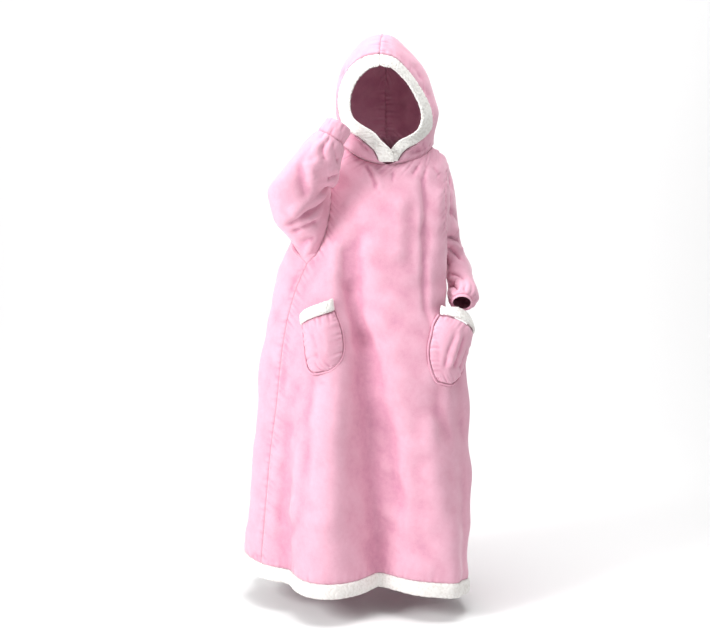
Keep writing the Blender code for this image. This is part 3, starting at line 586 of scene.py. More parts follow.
def weighed(tree, value, weight, base):
    """A value times a weight, added to another value."""
    made = tree.nodes.new("ShaderNodeMath")
    made.operation = "MULTIPLY_ADD"
    made.inputs[1].default_value = weight
    tree.links.new(value, made.inputs[0])
    tree.links.new(base, made.inputs[2])
    return made.outputs[0]


def bump(tree, height, strength, distance, over=None, invert=False):
    """Fine relief from a height, on top of coarser relief where there is some."""
    made = tree.nodes.new("ShaderNodeBump")
    made.inputs["Strength"].default_value = strength
    made.inputs["Distance"].default_value = distance
    made.invert = invert
    tree.links.new(height, made.inputs["Height"])
    if over:
        tree.links.new(over, made.inputs["Normal"])
    return made.outputs["Normal"]


def ramp(tree, value, low, low_colour, high, high_colour):
    """Colours between two ends, picked by a value."""
    made = tree.nodes.new("ShaderNodeValToRGB")
    for stop, position, colour in zip(made.color_ramp.elements, (low, high), (low_colour, high_colour)):
        stop.position = position
        stop.color = colour
    tree.links.new(value, made.inputs["Fac"])
    return made


def plush_fabric(name, crown, middle, trough):
    """Short dense plush: a fine nap, a soft sheen and random tone, with painted shade and light: the colour
    is darker in the folds' troughs and paler on their crowns.
    """
    material, tree, shader = fabric(name, 0.85, 0.15, 0.55, 0.45, (1.0, 0.86, 0.90, 1.0))
    cloud = texture(tree, "ShaderNodeTexNoise", Scale=26, Detail=4)
    brushed = texture(tree, "ShaderNodeTexNoise", Scale=75, Detail=3)
    nap = texture(tree, "ShaderNodeTexNoise", Scale=420, Detail=3)
    patches = tree.nodes.new("ShaderNodeMapRange")
    patches.inputs["To Min"].default_value = 0.38
    patches.inputs["To Max"].default_value = 0.62
    tree.links.new(cloud.outputs["Fac"], patches.inputs["Value"])
    # Painted shade and light: the hollow of the folds darkens the colour in their troughs and lightens it on
    # their crowns, on top of the random tone.
    tone = weighed(tree, attribute(tree, "hollow"), -0.15, patches.outputs["Result"])
    tone = weighed(tree, nap.outputs["Fac"], 0.30, tone)
    tone = weighed(tree, brushed.outputs["Fac"], 0.25, tone)
    colours = ramp(tree, tone, 0.45, trough, 1.0, crown)
    colours.color_ramp.elements.new(0.76).color = middle
    tree.links.new(colours.outputs["Color"], shader.inputs["Base Color"])
    coarse = bump(tree, brushed.outputs["Fac"], 0.35, 0.0022)
    fine = bump(tree, nap.outputs["Fac"], 0.55, 0.0009, over=coarse)
    tree.links.new(fine, shader.inputs["Normal"])
    return material


# The pink on the folds' crowns, between them, and in their troughs: the darker trough end is painted shade
# and the paler crown end painted light, mixed with random tone.
pink_plush = plush_fabric(
    "pink plush", (0.78, 0.44, 0.55, 1.0), (0.72, 0.36, 0.47, 1.0), (0.58, 0.24, 0.36, 1.0)
)
front = panel_grid("right_front", "left_front", FRONT_COLUMNS)
back = panel_grid("left_back", "right_back", BACK_COLUMNS, past_back=True)
front_worn = worn(front, False, 1, BODY_CREASES, 11)
back_worn = worn(back, False, 1, BODY_CREASES, 11)
front_piece = shell("front_plush", front_worn, False, 1, pink_plush)
back_piece = shell("back_plush", back_worn, False, 1, pink_plush)
for piece, node, size, area in (
    (front_piece, "front_panel", (0.96, 1.26), 0.85),
    (back_piece, "back_panel", (1.02, 1.30), 1.00),
):
    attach(piece, "root")
    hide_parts(node)

# The sleeves are wide tubes of the same plush, sewn in at the armholes and gathered at the
# wrists. The wearer's right sleeve is raised and bent, and the left one hangs. Each section runs
# from a top point over the arm to a low point along its other side, and faces front_x, y and z.
SLEEVE_COLUMNS = (
    "top_x", "top_y", "top_z", "low_x", "low_y", "low_z", "front_x", "front_y", "front_z",
    "half_depth", "square",
)
RIGHT_SLEEVE = {
    "upper arm": (-0.190, -0.055, -0.068, -0.246, -0.100, -0.338, 0.45, -0.9, 0.0, 0.080, 0.9),
    "above elbow": (-0.196, -0.105, -0.096, -0.276, -0.105, -0.292, 0.55, -0.85, 0.0, 0.086, 0.9),
    "elbow": (-0.184, -0.150, -0.128, -0.322, -0.140, -0.228, 0.45, -0.9, 0.1, 0.080, 0.9),
    "below elbow": (-0.160, -0.180, -0.132, -0.340, -0.165, -0.156, 0.1, -1.0, 0.1, 0.070, 0.9),
    "forearm": (-0.142, -0.198, -0.100, -0.296, -0.190, -0.092, 0.0, -1.0, 0.2, 0.062, 0.9),
    "above cuff": (-0.138, -0.207, -0.056, -0.238, -0.208, -0.026, 0.0, -1.0, 0.2, 0.052, 0.9),
    "gathered end": (-0.130, -0.212, -0.022, -0.196, -0.214, 0.016, 0.0, -1.0, 0.2, 0.040, 1.0),
}
LEFT_SLEEVE = {
    "upper arm": (0.192, 0.016, -0.106, 0.171, -0.014, -0.366, 0.0, -1.0, 0.0, 0.082, 0.85),
    "above elbow": (0.211, 0.030, -0.215, 0.174, 0.018, -0.374, 0.0, -1.0, 0.1, 0.082, 0.85),
    "elbow": (0.223, 0.034, -0.308, 0.182, 0.034, -0.398, 0.0, -1.0, 0.3, 0.076, 0.85),
    "below elbow": (0.252, 0.004, -0.380, 0.188, 0.008, -0.420, 0.0, -0.9, 0.6, 0.066, 0.85),
    "forearm": (0.262, -0.050, -0.436, 0.188, -0.046, -0.440, 0.0, -0.7, 0.8, 0.056, 0.9),
    "above cuff": (0.260, -0.100, -0.470, 0.188, -0.104, -0.445, 0.1, -0.65, 0.85, 0.046, 0.95),
    "gathered end": (0.243, -0.126, -0.481, 0.192, -0.138, -0.456, 0.2, -0.65, 0.85, 0.029, 1.0),
}
SLEEVE_RINGS = 96
RIGHT_SLEEVE_CREASES = (
    ("long elbow fold", 0.009, -0.014,
     ((-.291, -.169, -.254), (-.261, -.202, -.233), (-.224, -.203, -.211), (-.188, -.178, -.188),
      (-.168, -.15, -.165))),
    ("swell above the elbow fold", 0.016, 0.009,
     ((-.294, -.203, -.225), (-.259, -.221, -.205), (-.223, -.218, -.182), (-.187, -.186, -.16),
      (-.165, -.16, -.14))),
    ("short elbow fold", 0.009, -0.01,
     ((-.278, -.15, -.272), (-.25, -.182, -.256), (-.222, -.184, -.242), (-.194, -.167, -.231))),
    ("swell between the elbow folds", 0.009, 0.006,
     ((-.262, -.18, -.256), (-.233, -.195, -.236), (-.199, -.18, -.217))),
    ("low elbow fold", 0.01, -0.007,
     ((-.26, -.109, -.314), (-.229, -.154, -.289), (-.2, -.15, -.277))),
    ("forearm fall", 0.016, -0.006,
     ((-.238, -.247, -.042), (-.243, -.253, -.086), (-.238, -.244, -.135), (-.223, -.224, -.174))),
    ("forearm crown", 0.015, 0.007,
     ((-.221, -.257, -.064), (-.213, -.253, -.102), (-.211, -.237, -.141))),
    ("inner elbow fold", 0.008, -0.009,
     ((-.140, -.200, -.104), (-.153, -.219, -.11), (-.172, -.229, -.121))),
    ("swell over the inner elbow", 0.009, 0.004,
     ((-.140, -.212, -.084), (-.152, -.234, -.088), (-.174, -.246, -.097))),
    ("forearm soft fall, high", 0.008, -0.004,
     ((-.177, -.258, -.015), (-.182, -.259, -.042), (-.18, -.255, -.069))),
    ("elbow swell, outer", 0.016, 0.006,
     ((-.316, -.214, -.174), (-.299, -.21, -.208), (-.278, -.199, -.236))),
    ("cuff side drag", 0.008, -0.006,
     ((-.157, -.255, -.009), (-.152, -.25, -.042), (-.141, -.225, -.074))),
    ("cuff side swell", 0.01, 0.005,
     ((-.196, -.25, -.004), (-.201, -.259, -.042), (-.193, -.256, -.08))),
    ("back elbow fold", 0.01, -0.009,
     ((-.291, -.053, -.205), (-.259, -.082, -.16), (-.2, -.117, -.141), (-.16, -.151, -.124))),
    ("back elbow fold beside it", 0.009, -0.007,
     ((-.286, -.043, -.265), (-.278, -.054, -.182), (-.217, -.092, -.142))),
    ("back upper arm drag", 0.01, -0.006,
     ((-.229, .018, -.156), (-.24, -.041, -.116), (-.193, -.115, -.124))),
    ("back swell", 0.012, 0.005,
     ((-.306, -.078, -.215), (-.287, -.096, -.164), (-.213, -.121, -.134))),
    ("back forearm fall", 0.01, -0.006,
     ((-.269, -.134, -.115), (-.229, -.146, -.08), (-.199, -.16, -.043))),
    ("back forearm fall, low", 0.009, -0.005,
     ((-.3, -.179, -.1), (-.263, -.185, -.059), (-.226, -.191, -.02))),
)
LEFT_SLEEVE_CREASES = (
    ("elbow fold, high", 0.007, -0.013,
     ((.179, -.086, -.283), (.199, -.051, -.287), (.219, .005, -.296))),
    ("swell under it", 0.01, 0.009,
     ((.183, -.071, -.298), (.207, -.035, -.312), (.229, .009, -.329))),
    ("elbow fold, low", 0.008, -0.014,
     ((.184, -.063, -.313), (.207, -.037, -.329), (.229, -.029, -.354))),
    ("forearm fold", 0.008, -0.012,
     ((.186, -.023, -.432), (.196, -.107, -.428), (.213, -.143, -.437))),
    ("forearm fold, low", 0.007, -0.006,
     ((.185, -.052, -.397), (.209, -.085, -.397), (.233, -.117, -.413))),
    ("upper arm fall", 0.008, -0.005,
     ((.187, -.038, -.111), (.187, -.072, -.175), (.191, -.068, -.24))),
    ("swell above the elbow", 0.013, 0.008,
     ((.185, -.076, -.257), (.202, -.05, -.261), (.213, -.015, -.271))),
    ("swell over the cuff", 0.013, 0.01,
     ((.186, -.09, -.45), (.225, .018, -.463), (.246, -.022, -.474))),
    ("shoulder drag", 0.011, -0.004,
     ((.18, -.042, -.093), (.192, -.048, -.134), (.202, -.036, -.175))),
    ("upper arm drag", 0.009, -0.006,
     ((.18, -.089, -.204), (.198, -.057, -.216), (.212, -.015, -.238))),
    ("hidden fold 1", 0.009, -0.006,
     ((.178, -.084, -.274), (.172, -.031, -.361), (.175, .053, -.358))),
    ("hidden fold 2", 0.009, -0.006,
     ((.181, -.054, -.33), (.175, .022, -.378), (.186, .095, -.357))),
    ("hidden fold 3", 0.009, -0.006,
     ((.185, -.038, -.36), (.181, .016, -.396), (.195, .084, -.394))),
    ("hidden fold 4", 0.009, -0.006,
     ((.182, -.033, -.389), (.186, -.001, -.416), (.205, .042, -.435))),
    ("hidden fold 5", 0.009, -0.006,
     ((.176, .061, -.35), (.183, .087, -.29), (.184, .08, -.183))),
    ("hidden fold 6", 0.009, -0.006,
     ((.188, .096, -.361), (.2, .107, -.317), (.206, .093, -.251))),
    ("hidden fold 7", 0.009, -0.006,
     ((.201, .08, -.405), (.221, .099, -.385), (.228, .09, -.334))),
    ("hidden fold 8", 0.009, -0.006,
     ((.204, .02, -.449), (.23, .035, -.453), (.255, .044, -.422))),
    ("hidden fold 9", 0.009, -0.006,
     ((.213, -.092, -.403), (.196, -.092, -.421), (.188, -.07, -.448))),
)


def armhole_loop(front_edge, back_edge):
    """The armhole from the shoulder point down the front and up the back."""
    first, last = YOKE_ROWS, YOKE_ROWS + ARMHOLE_ROWS
    down = front_edge[first : last + 1]
    up = back_edge[first + 1 : last][::-1]
    return np.concatenate([down, up])


def sleeve_grid(armhole, sections):
    """A sleeve as rings of points that start at the armhole and pass through its sections."""
    count = len(armhole)
    turn = 2 * np.pi * np.arange(count) / count
    table = [dict(zip(SLEEVE_COLUMNS, row)) for row in sections.values()]
    tops = np.array([(s["top_x"], s["top_y"], s["top_z"]) for s in table])
    lows = np.array([(s["low_x"], s["low_y"], s["low_z"]) for s in table])
    centres = np.concatenate([[armhole.mean(axis=0)], (tops + lows) / 2])
    steps = np.linalg.norm(np.diff(centres, axis=0), axis=1)
    knots = np.concatenate([[0], np.cumsum(steps)]) / steps.sum()
    rings = [armhole]
    for top, low, s in zip(tops, lows, table):
        half = (low - top) / 2
        front = np.array((s["front_x"], s["front_y"], s["front_z"]))
        front = unit(front - unit(half) * front.dot(unit(half))) * s["half_depth"]
        cosine, sine = np.cos(turn), np.sin(turn)
        across = np.sign(cosine) * np.abs(cosine) ** s["square"]
        forward = np.sign(sine) * np.abs(sine) ** s["square"]
        rings.append((top + low) / 2 - across[:, None] * half + forward[:, None] * front)
    shares = np.linspace(0, 1, SLEEVE_RINGS + 1)
    return curve(knots, np.array(rings), shares)


def gathered(grid, side, folds, depth, seed):
    """The sleeve drawn up into its cuff: uneven small pleats that run out into the cloth."""
    down = lengths(grid, 0)
    left = (down[-1:] - down) / 0.020
    turn = np.arange(grid.shape[1]) / grid.shape[1]
    chance = np.random.default_rng(seed)
    pleats = 0
    for part in (0.7, 1.0, 1.45):
        count = round(folds * part)
        pleats = pleats + np.cos(2 * np.pi * (count * turn + chance.uniform(0, 1))) * 0.5
    belly = 0.004 * left * np.exp(1 - left / 1.4) / 1.4
    move = depth * pleats[None] * left * np.exp(1 - left) + belly
    return grid + outward(grid, True, side) * move[..., None]


right_armhole = armhole_loop(front[:, 0], back[:, -1])
left_armhole = armhole_loop(front[:, -1], back[:, 0])
right_sleeve = sleeve_grid(right_armhole, RIGHT_SLEEVE)
left_sleeve = sleeve_grid(left_armhole, LEFT_SLEEVE)
right_worn = gathered(worn(right_sleeve, True, 1, RIGHT_SLEEVE_CREASES, 21), 1, 11, 0.0022, 5)
left_worn = gathered(worn(left_sleeve, True, -1, LEFT_SLEEVE_CREASES, 31), -1, 10, 0.0020, 6)
right_sleeve_piece = shell("sleeve_right_plush", right_worn, True, 1, pink_plush)
left_sleeve_piece = shell("sleeve_left_plush", left_worn, True, -1, pink_plush)
for piece, node, size, area in (
    (right_sleeve_piece, "sleeve_right", (0.60, 0.44), 0.20),
    (left_sleeve_piece, "sleeve_left", (0.56, 0.46), 0.19),
):
    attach(piece, "root")
    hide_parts(node)

# The cuffs are short plain tubes of the same plush, folded double and sewn to the gathers.
RIGHT_CUFF_LENGTH = 0.046
LEFT_CUFF_LENGTH = 0.014
CUFF_ROWS = 18


def cuff_grid(end_ring, way, length):
    """A cuff that goes on from a sleeve's last ring."""
    centre = end_ring.mean(axis=0)
    rows = []
    for share in np.linspace(0, 1, CUFF_ROWS + 1):
        rows.append(centre + (end_ring - centre) * (1 - 0.06 * share) + way * length * share)
    return np.array(rows)


end_rings = SLEEVE_RINGS // 7
right_way = unit(right_sleeve[-1].mean(axis=0) - right_sleeve[-1 - end_rings].mean(axis=0))
left_way = unit(left_sleeve[-1].mean(axis=0) - left_sleeve[-1 - end_rings].mean(axis=0))
right_cuff = cuff_grid(right_sleeve[-1], right_way, RIGHT_CUFF_LENGTH)
left_cuff = cuff_grid(left_sleeve[-1], left_way, LEFT_CUFF_LENGTH)
right_cuff_piece = shell(
    "cuff_right_plush", worn(right_cuff, True, 1, (), 41, 0.0010, 0.0010), True, 1, pink_plush
)
left_cuff_piece = shell(
    "cuff_left_plush", worn(left_cuff, True, -1, (), 42, 0.0005, 0.0006), True, -1, pink_plush
)
for piece, node, size in (
    (right_cuff_piece, "cuff_right", (0.25, 0.046)),
    (left_cuff_piece, "cuff_left", (0.18, 0.014)),
):
    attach(piece, "root")
    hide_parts(node)

# The hood is two curved halves of plush with no lining, joined over the crown and down the nape
# and sewn to the neck. It stands open round the head.
# The hood's edges on the wearer's left, from the centre front up to the forehead. The outer edge
# is where the pile band meets the cloth, and the inner edge is the opening for the face.
LEFT_OUTER_EDGE = (
    (0.028, -0.1465, -0.066),
    (0.038, -0.144, -0.045),
    (0.058, -0.137, -0.027),
    (0.081, -0.124, -0.015),
    (0.108, -0.106, 0.006),
    (0.128, -0.088, 0.032),
    (0.130, -0.080, 0.067),
    (0.119, -0.081, 0.104),
    (0.102, -0.086, 0.135),
    (0.079, -0.095, 0.168),
    (0.049, -0.107, 0.203),
    (0.014, -0.120, 0.230),
    (-0.023, -0.125, 0.238),
)
LEFT_INNER_EDGE = (
    (-0.003, -0.1440, -0.058),
    (0.010, -0.1450, -0.028),
    (0.034, -0.142, -0.004),
    (0.057, -0.138, 0.007),
    (0.081, -0.130, 0.022),
    (0.095, -0.122, 0.048),
    (0.094, -0.118, 0.082),
    (0.081, -0.120, 0.115),
    (0.063, -0.125, 0.146),
    (0.040, -0.132, 0.173),
    (0.011, -0.140, 0.196),
    (-0.023, -0.143, 0.203),
)
RIGHT_OUTER_EDGE = (
    (-0.026, -0.1620, -0.067),
    (-0.037, -0.1605, -0.039),
    (-0.060, -0.153, -0.016),
    (-0.088, -0.136, 0.007),
    (-0.117, -0.116, 0.025),
    (-0.137, -0.092, 0.061),
    (-0.143, -0.081, 0.099),
    (-0.140, -0.081, 0.136),
    (-0.129, -0.087, 0.172),
    (-0.104, -0.101, 0.208),
    (-0.068, -0.116, 0.231),
    (-0.023, -0.125, 0.238),
)
RIGHT_INNER_EDGE = (
    (0.020, -0.1640, -0.067),
    (0.008, -0.1660, -0.033),
    (-0.017, -0.163, -0.008),
    (-0.040, -0.152, 0.018),
    (-0.068, -0.142, 0.035),
    (-0.100, -0.127, 0.061),
    (-0.108, -0.119, 0.093),
    (-0.105, -0.119, 0.124),
    (-0.094, -0.123, 0.152),
    (-0.074, -0.130, 0.179),
    (-0.051, -0.138, 0.196),
    (-0.023, -0.143, 0.203),
)
CROWN_SEAM = (
    (-0.023, -0.123, 0.242),
    (-0.019, -0.085, 0.282),
    (-0.010, -0.020, 0.306),
    (-0.004, 0.050, 0.292),
    (0.0, 0.110, 0.240),
    (0.0, 0.142, 0.160),
)
NAPE_SEAM = (
    (0.0, 0.085, 0.012),
    (0.0, 0.112, 0.048),
    (0.0, 0.134, 0.100),
    (0.0, 0.142, 0.160),
)
HOOD_CENTRE = np.array((0.0, -0.01, 0.10))
HOOD_RADII = np.array((0.139, 0.152, 0.205))
HOOD_ROWS = 84
TRIM_STATIONS = 26
SEAM_GAP = 0.0003
HOOD_EDGE_GAP = 0.0015
HOOD_EDGE_DEPTH = 0.0062
HOOD_CREASES = (
    ("crown soft fall, left", 0.016, -0.005,
     ((.068, -.08, .221), (.097, -.077, .17), (.112, -.079, .113))),
    ("left cheek fall", 0.012, -0.006,
     ((.129, -.057, -.018), (.109, -.093, -.031), (.079, -.12, -.043))),
    ("left cheek drag", 0.01, -0.004,
     ((.058, -.131, -.046), (.087, -.117, -.032), (.115, -.092, -.005))),
    ("right cheek fall", 0.01, -0.006,
     ((-.111, -.113, .017), (-.085, -.136, -.007), (-.048, -.152, -.036))),
    ("right crown fall", 0.014, -0.004,
     ((-.085, -.094, .242), (-.108, -.093, .203), (-.124, .049, .171))),
)


def hood_grid(neck, trim):
    """One half of the hood between the neck seam, the pile band and the centre seams. The four
    edges are joined as directions from the head's middle, so that the half is as round as they
    are. neck holds the panels' own points from the front to the centre back."""
    u = np.linspace(0, 1, len(neck))
    v = np.linspace(0, 1, HOOD_ROWS + 1)
    outer, inner, outward = trim
    shares = np.linspace(0, 1, len(outer))
    outer, away, outward = [
        np.stack([np.interp(v, shares, values[:, k]) for k in range(3)], axis=1)
        for values in (outer, unit(outer - inner), outward)
    ]
    front = outer + away * HOOD_EDGE_GAP - outward * HOOD_EDGE_DEPTH
    crown = spline(CROWN_SEAM, u)
    nape = spline(NAPE_SEAM, v)
    front[0] = neck[0]
    front[-1, 0] = crown[0, 0]
    crown[0] = front[-1]
    nape[0] = neck[-1]
    neck, crown, front, nape = [
        (edge - HOOD_CENTRE) / HOOD_RADII for edge in (neck, crown, front, nape)
    ]
    uu, vv = u[None, :, None], v[:, None, None]
    ways = patch(unit(neck), unit(crown), unit(front), unit(nape), uu, vv)
    lengths = [np.linalg.norm(edge, axis=1)[:, None] for edge in (neck, crown, front, nape)]
    return HOOD_CENTRE + unit(ways) * patch(*lengths, uu, vv) * HOOD_RADII


def patch(low, high, near, far, uu, vv):
    """The surface that blends four edges: low and high run along uu, near and far along vv."""
    ruled = (1 - vv) * low[None] + vv * high[None] + (1 - uu) * near[:, None] + uu * far[:, None]
    corners = (
        (1 - uu) * (1 - vv) * low[0]
        + uu * (1 - vv) * low[-1]
        + (1 - uu) * vv * high[0]
        + uu * vv * high[-1]
    )
    return ruled - corners


def trim_edges(outer_edge, inner_edge, side):
    """The edges and outward directions of the pile band, which stops at the centre seam."""
    shares = np.linspace(0, 1, TRIM_STATIONS + 1)
    outer, inner = spline(outer_edge, shares), spline(inner_edge, shares)
    along = np.gradient((outer + inner) / 2, axis=0)
    normals = unit(np.cross(along, inner - outer))
    normals *= np.where(normals[:, 1:2] > 0, -1, 1)
    normals[-1] = unit(normals[-1] * (0, 1, 1))
    outer[-1, 0] += side * SEAM_GAP
    inner[-1, 0] += side * SEAM_GAP
    return outer, inner, normals

left_trim = trim_edges(LEFT_OUTER_EDGE, LEFT_INNER_EDGE, 1)
right_trim = trim_edges(RIGHT_OUTER_EDGE, RIGHT_INNER_EDGE, -1)
middle_front, middle_back = FRONT_COLUMNS // 2, BACK_COLUMNS // 2
left_neck = np.concatenate([front[0, middle_front + 1 :], back[0, 1 : middle_back + 1]])
right_neck = np.concatenate([front[0, middle_front - 1 :: -1], back[0, -2 : middle_back - 1 : -1]])
left_hood = hood_grid(left_neck, left_trim)
right_hood = hood_grid(right_neck, right_trim)
hood_left_piece = shell(
    "hood_left_plush", worn(left_hood, False, -1, HOOD_CREASES, 51), False, -1, pink_plush
)
hood_right_piece = shell(
    "hood_right_plush", worn(right_hood, False, 1, HOOD_CREASES, 52), False, 1, pink_plush
)
for piece, node in ((hood_left_piece, "hood_left"), (hood_right_piece, "hood_right")):
    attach(piece, "root")
    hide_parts(node)

# The bands are strips of cream pile fabric, about 4 cm wide, folded over the edges and sewn down:
# one round each side of the face, crossing at the chin, and one round the hem.
PILE = 0.014
HEM_BAND = 0.044
HEM_OVERLAP = 0.0006
CURL_SIZE = 0.0058
CURL_HEIGHT = 0.0026


def curls(points, size, seed):
    """The curly lumps of the pile: how far each point stands out, from 0 in a parting to 1."""
    # Without a seed noise_vector gives other lumps on every run.
    noise.seed_set(1)
    heights = []
    for point in points:
        spot = Vector(point) / size
        spot = spot + noise.noise_vector(spot * 0.8 + Vector((seed, 0, 0))) * 0.55
        near = noise.voronoi(spot)[0][0]
        fine = noise.voronoi(spot * 2.1 + Vector((0, seed, 3)))[0][0]
        heights.append(0.72 * max(0.0, 1 - near * near * 1.7) + 0.28 * max(0.0, 1 - fine * 1.2))
    return np.array(heights)


def closed_piece(name, points, faces, material):
    """A closed mesh whose faces are all turned outward."""
    mesh = bpy.data.meshes.new(name)
    mesh.from_pydata(points.tolist(), [], faces)
    made = bpy.data.objects.new(name, mesh)
    bpy.context.scene.collection.objects.link(made)
    bpy.context.view_layer.objects.active = made
    made.select_set(True)
    bpy.ops.object.mode_set(mode="EDIT")
    bpy.ops.mesh.select_all(action="SELECT")
    bpy.ops.mesh.normals_make_consistent(inside=False)
    bpy.ops.object.mode_set(mode="OBJECT")
    made.select_set(False)
    mesh.materials.append(material)
    mesh.shade_smooth()
    return made


def strip(name, near_edge, far_edge, ways, thickness, step, sides, material, closed=False, seed=1):
    """A plump strip of pile between two edges, with rounded ends and curls all over."""
    if closed:
        near_edge, far_edge, ways = [np.concatenate([e, e[:1]]) for e in (near_edge, far_edge, ways)]
    middle = (near_edge + far_edge) / 2
    steps = np.linalg.norm(np.diff(middle, axis=0), axis=1)
    at = np.concatenate([[0], np.cumsum(steps)])
    count = int(at[-1] / step)
    wanted = np.linspace(0, at[-1], count + 1)
    near_edge, far_edge, ways = [
        np.stack([curve(at, e[:, k], wanted) for k in range(3)], axis=1)
        for e in (near_edge, far_edge, ways)
    ]
    if closed:
        near_edge, far_edge, ways = near_edge[:-1], far_edge[:-1], ways[:-1]
    ways = unit(ways)
    centre, across = (near_edge + far_edge) / 2, (far_edge - near_edge) / 2
    turn = 2 * np.pi * (np.arange(sides) + 0.5) / sides
    wide = np.sign(np.cos(turn)) * np.abs(np.cos(turn)) ** 0.8
    proud = np.sign(np.sin(turn)) * np.abs(np.sin(turn)) ** 0.75
    shrink = np.ones(len(centre))
    if not closed:
        end = np.minimum(wanted, wanted[-1] - wanted) / 0.006
        shrink = np.sqrt(np.clip(1 - (1 - np.clip(end, 0, 1)) ** 2, 0.04, 1))
    across = across * (0.86 + 0.14 * shrink)[:, None]
    half = (thickness / 2 - 0.0012) * shrink
    points = (
        centre[:, None]
        + wide[None, :, None] * (across - unit(across) * 0.0012)[:, None]
        + proud[None, :, None] * ways[:, None] * half[:, None, None]
    )
    sideways = wide[None, :, None] * across[:, None] * 0.35 / 0.02
    out = unit(sideways + proud[None, :, None] * ways[:, None])
    height = curls(points.reshape(-1, 3), CURL_SIZE, seed).reshape(points.shape[:2])
    points = points + out * ((height - 0.30) * CURL_HEIGHT)[..., None]
    rows = len(points)
    number = np.arange(rows * sides).reshape(rows, sides)
    number = np.concatenate([number, number[:, :1]], axis=1)
    if closed:
        number = np.concatenate([number, number[:1]])
    corners = [number[:-1, :-1], number[:-1, 1:], number[1:, 1:], number[1:, :-1]]
    faces = np.stack(corners, axis=2).reshape(-1, 4).tolist()
    if not closed:
        faces.append(number[0, :-1][::-1].tolist())
        faces.append(number[-1, :-1].tolist())
    made = closed_piece(name, points.reshape(-1, 3), faces, material)
    # The curl height is kept for the pile's painted shade in its partings.
    made.data.attributes.new("curl", "FLOAT", "POINT").data.foreach_set(
        "value", height.reshape(-1).astype(np.float32)
    )
    return made


def pile_fabric(name, tip, root):
    """Curly woolly pile: pale cream on the curls' tops and fine loops, with painted shade in the partings
    between the curls as a darker, warmer colour.
    """
    material, tree, shader = fabric(name, 0.95, 0.1, 0.45, 0.6, (1.0, 0.98, 0.95, 1.0))
    loops = texture(tree, "ShaderNodeTexVoronoi", Scale=420)
    tangle = texture(tree, "ShaderNodeTexNoise", Scale=260, Detail=4, Distortion=1.6)
    # Painted shade: a low curl height darkens the colour towards the partings, mixed with random tangle;
    # root is the painted shade colour and tip the pile's pale colour.
    shade = weighed(tree, tangle.outputs["Fac"], 0.35, attribute(tree, "curl"))
    colours = ramp(tree, shade, 0.12, root, 0.75, tip)
    tree.links.new(colours.outputs["Color"], shader.inputs["Base Color"])
    coarse = bump(tree, tangle.outputs["Fac"], 0.6, 0.0015)
    fine = bump(tree, loops.outputs["Distance"], 0.4, 0.0008, over=coarse, invert=True)
    tree.links.new(fine, shader.inputs["Normal"])
    return material


# The second colour is the painted shade of the partings between the curls.
cream_pile = pile_fabric("cream pile", (0.84, 0.83, 0.80, 1.0), (0.70, 0.67, 0.63, 1.0))
hood_band_left = strip("hood_band_left", *left_trim, PILE, 0.0016, 56, cream_pile, seed=3)
hood_band_right = strip("hood_band_right", *right_trim, PILE, 0.0016, 56, cream_pile, seed=4)
hem_degrees = np.linspace(-180, 180, 141)[:-1]
hem_distances = [distance_at(HEM, d) for d in hem_degrees]
hem_edge = body_points(HEM, hem_distances)
above_edge = body_points(HEM - 0.4, [distance_at(HEM - 0.4, d) for d in hem_degrees])
hem_down = unit(hem_edge - above_edge)
hem_ways = unit(np.cross(hem_down, np.roll(hem_edge, 1, axis=0) - np.roll(hem_edge, -1, axis=0)))
hem_band = strip(
    "hem_band_pile",
    hem_edge - hem_down * HEM_OVERLAP,
    hem_edge + hem_down * HEM_BAND,
    hem_ways,
    PILE + 0.002,
    0.0022,
    44,
    cream_pile,
    closed=True,
    seed=5,
)
for piece, node in (
    (hood_band_left, "hood_trim_left"),
    (hood_band_right, "hood_trim_right"),
    (hem_band, "hem_band"),
):
    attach(piece, "root")
    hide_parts(node)

# The patch pockets are pieces of plush with a pile band over the mouth and a raised plush piping
# round the sewn edge, stitched down along both sides. The right one slopes and lies flat, and
# the left one stands away a little.
POCKET_COLUMNS = (
    "middle_z", "distance", "slope", "lean", "width", "height", "bulge", "gap", "mouth_gap",
)
POCKETS = {
    "right": (-0.586, -0.205, 25.0, 4.0, 0.106, 0.150, 0.018, 0.0018, 0.0),
    "left": (-0.616, 0.192, -29.0, -10.0, 0.136, 0.164, 0.026, 0.0023, 0.0020),
}
# The outline of each pocket: a share of its height, and how far its right and left edges lie
# from its middle there, as shares of half of its width.
POCKET_OUTLINES = {
    "right": (
        (0.0, -1.0, 0.88), (0.25, -0.98, 1.02), (0.5, -0.96, 1.10), (0.7, -0.92, 1.06),
        (0.85, -0.84, 0.88), (0.95, -0.68, 0.56), (1.0, -0.46, 0.24),
    ),
    "left": (
        (0.0, -0.80, 1.0), (0.15, -0.93, 0.90), (0.32, -1.03, 0.80), (0.5, -1.06, 0.72),
        (0.68, -0.98, 0.64), (0.85, -0.78, 0.46), (0.95, -0.60, 0.24), (1.0, -0.46, 0.04),
    ),
}
POCKET_BAND = 0.034
POCKET_PIPING = 0.0030
BAND_GAP = 0.0003
POCKET_COLUMN_COUNT = 64
POCKET_ROW_COUNT = 72


def pocket_value(side, name):
    return dict(zip(POCKET_COLUMNS, POCKETS[side]))[name]


def panel_column(distance):
    """The front panel's own places and outward directions at a distance from the centre front."""
    columns = (distance - front_starts) / (front_ends - front_starts) * FRONT_COLUMNS
    columns = np.clip(columns, 0, FRONT_COLUMNS - 0.001)
    c = columns.astype(int)
    f = (columns - c)[:, None]
    r = np.arange(len(c))
    return [grid[r, c] * (1 - f) + grid[r, c + 1] * f for grid in (front, front_out)]


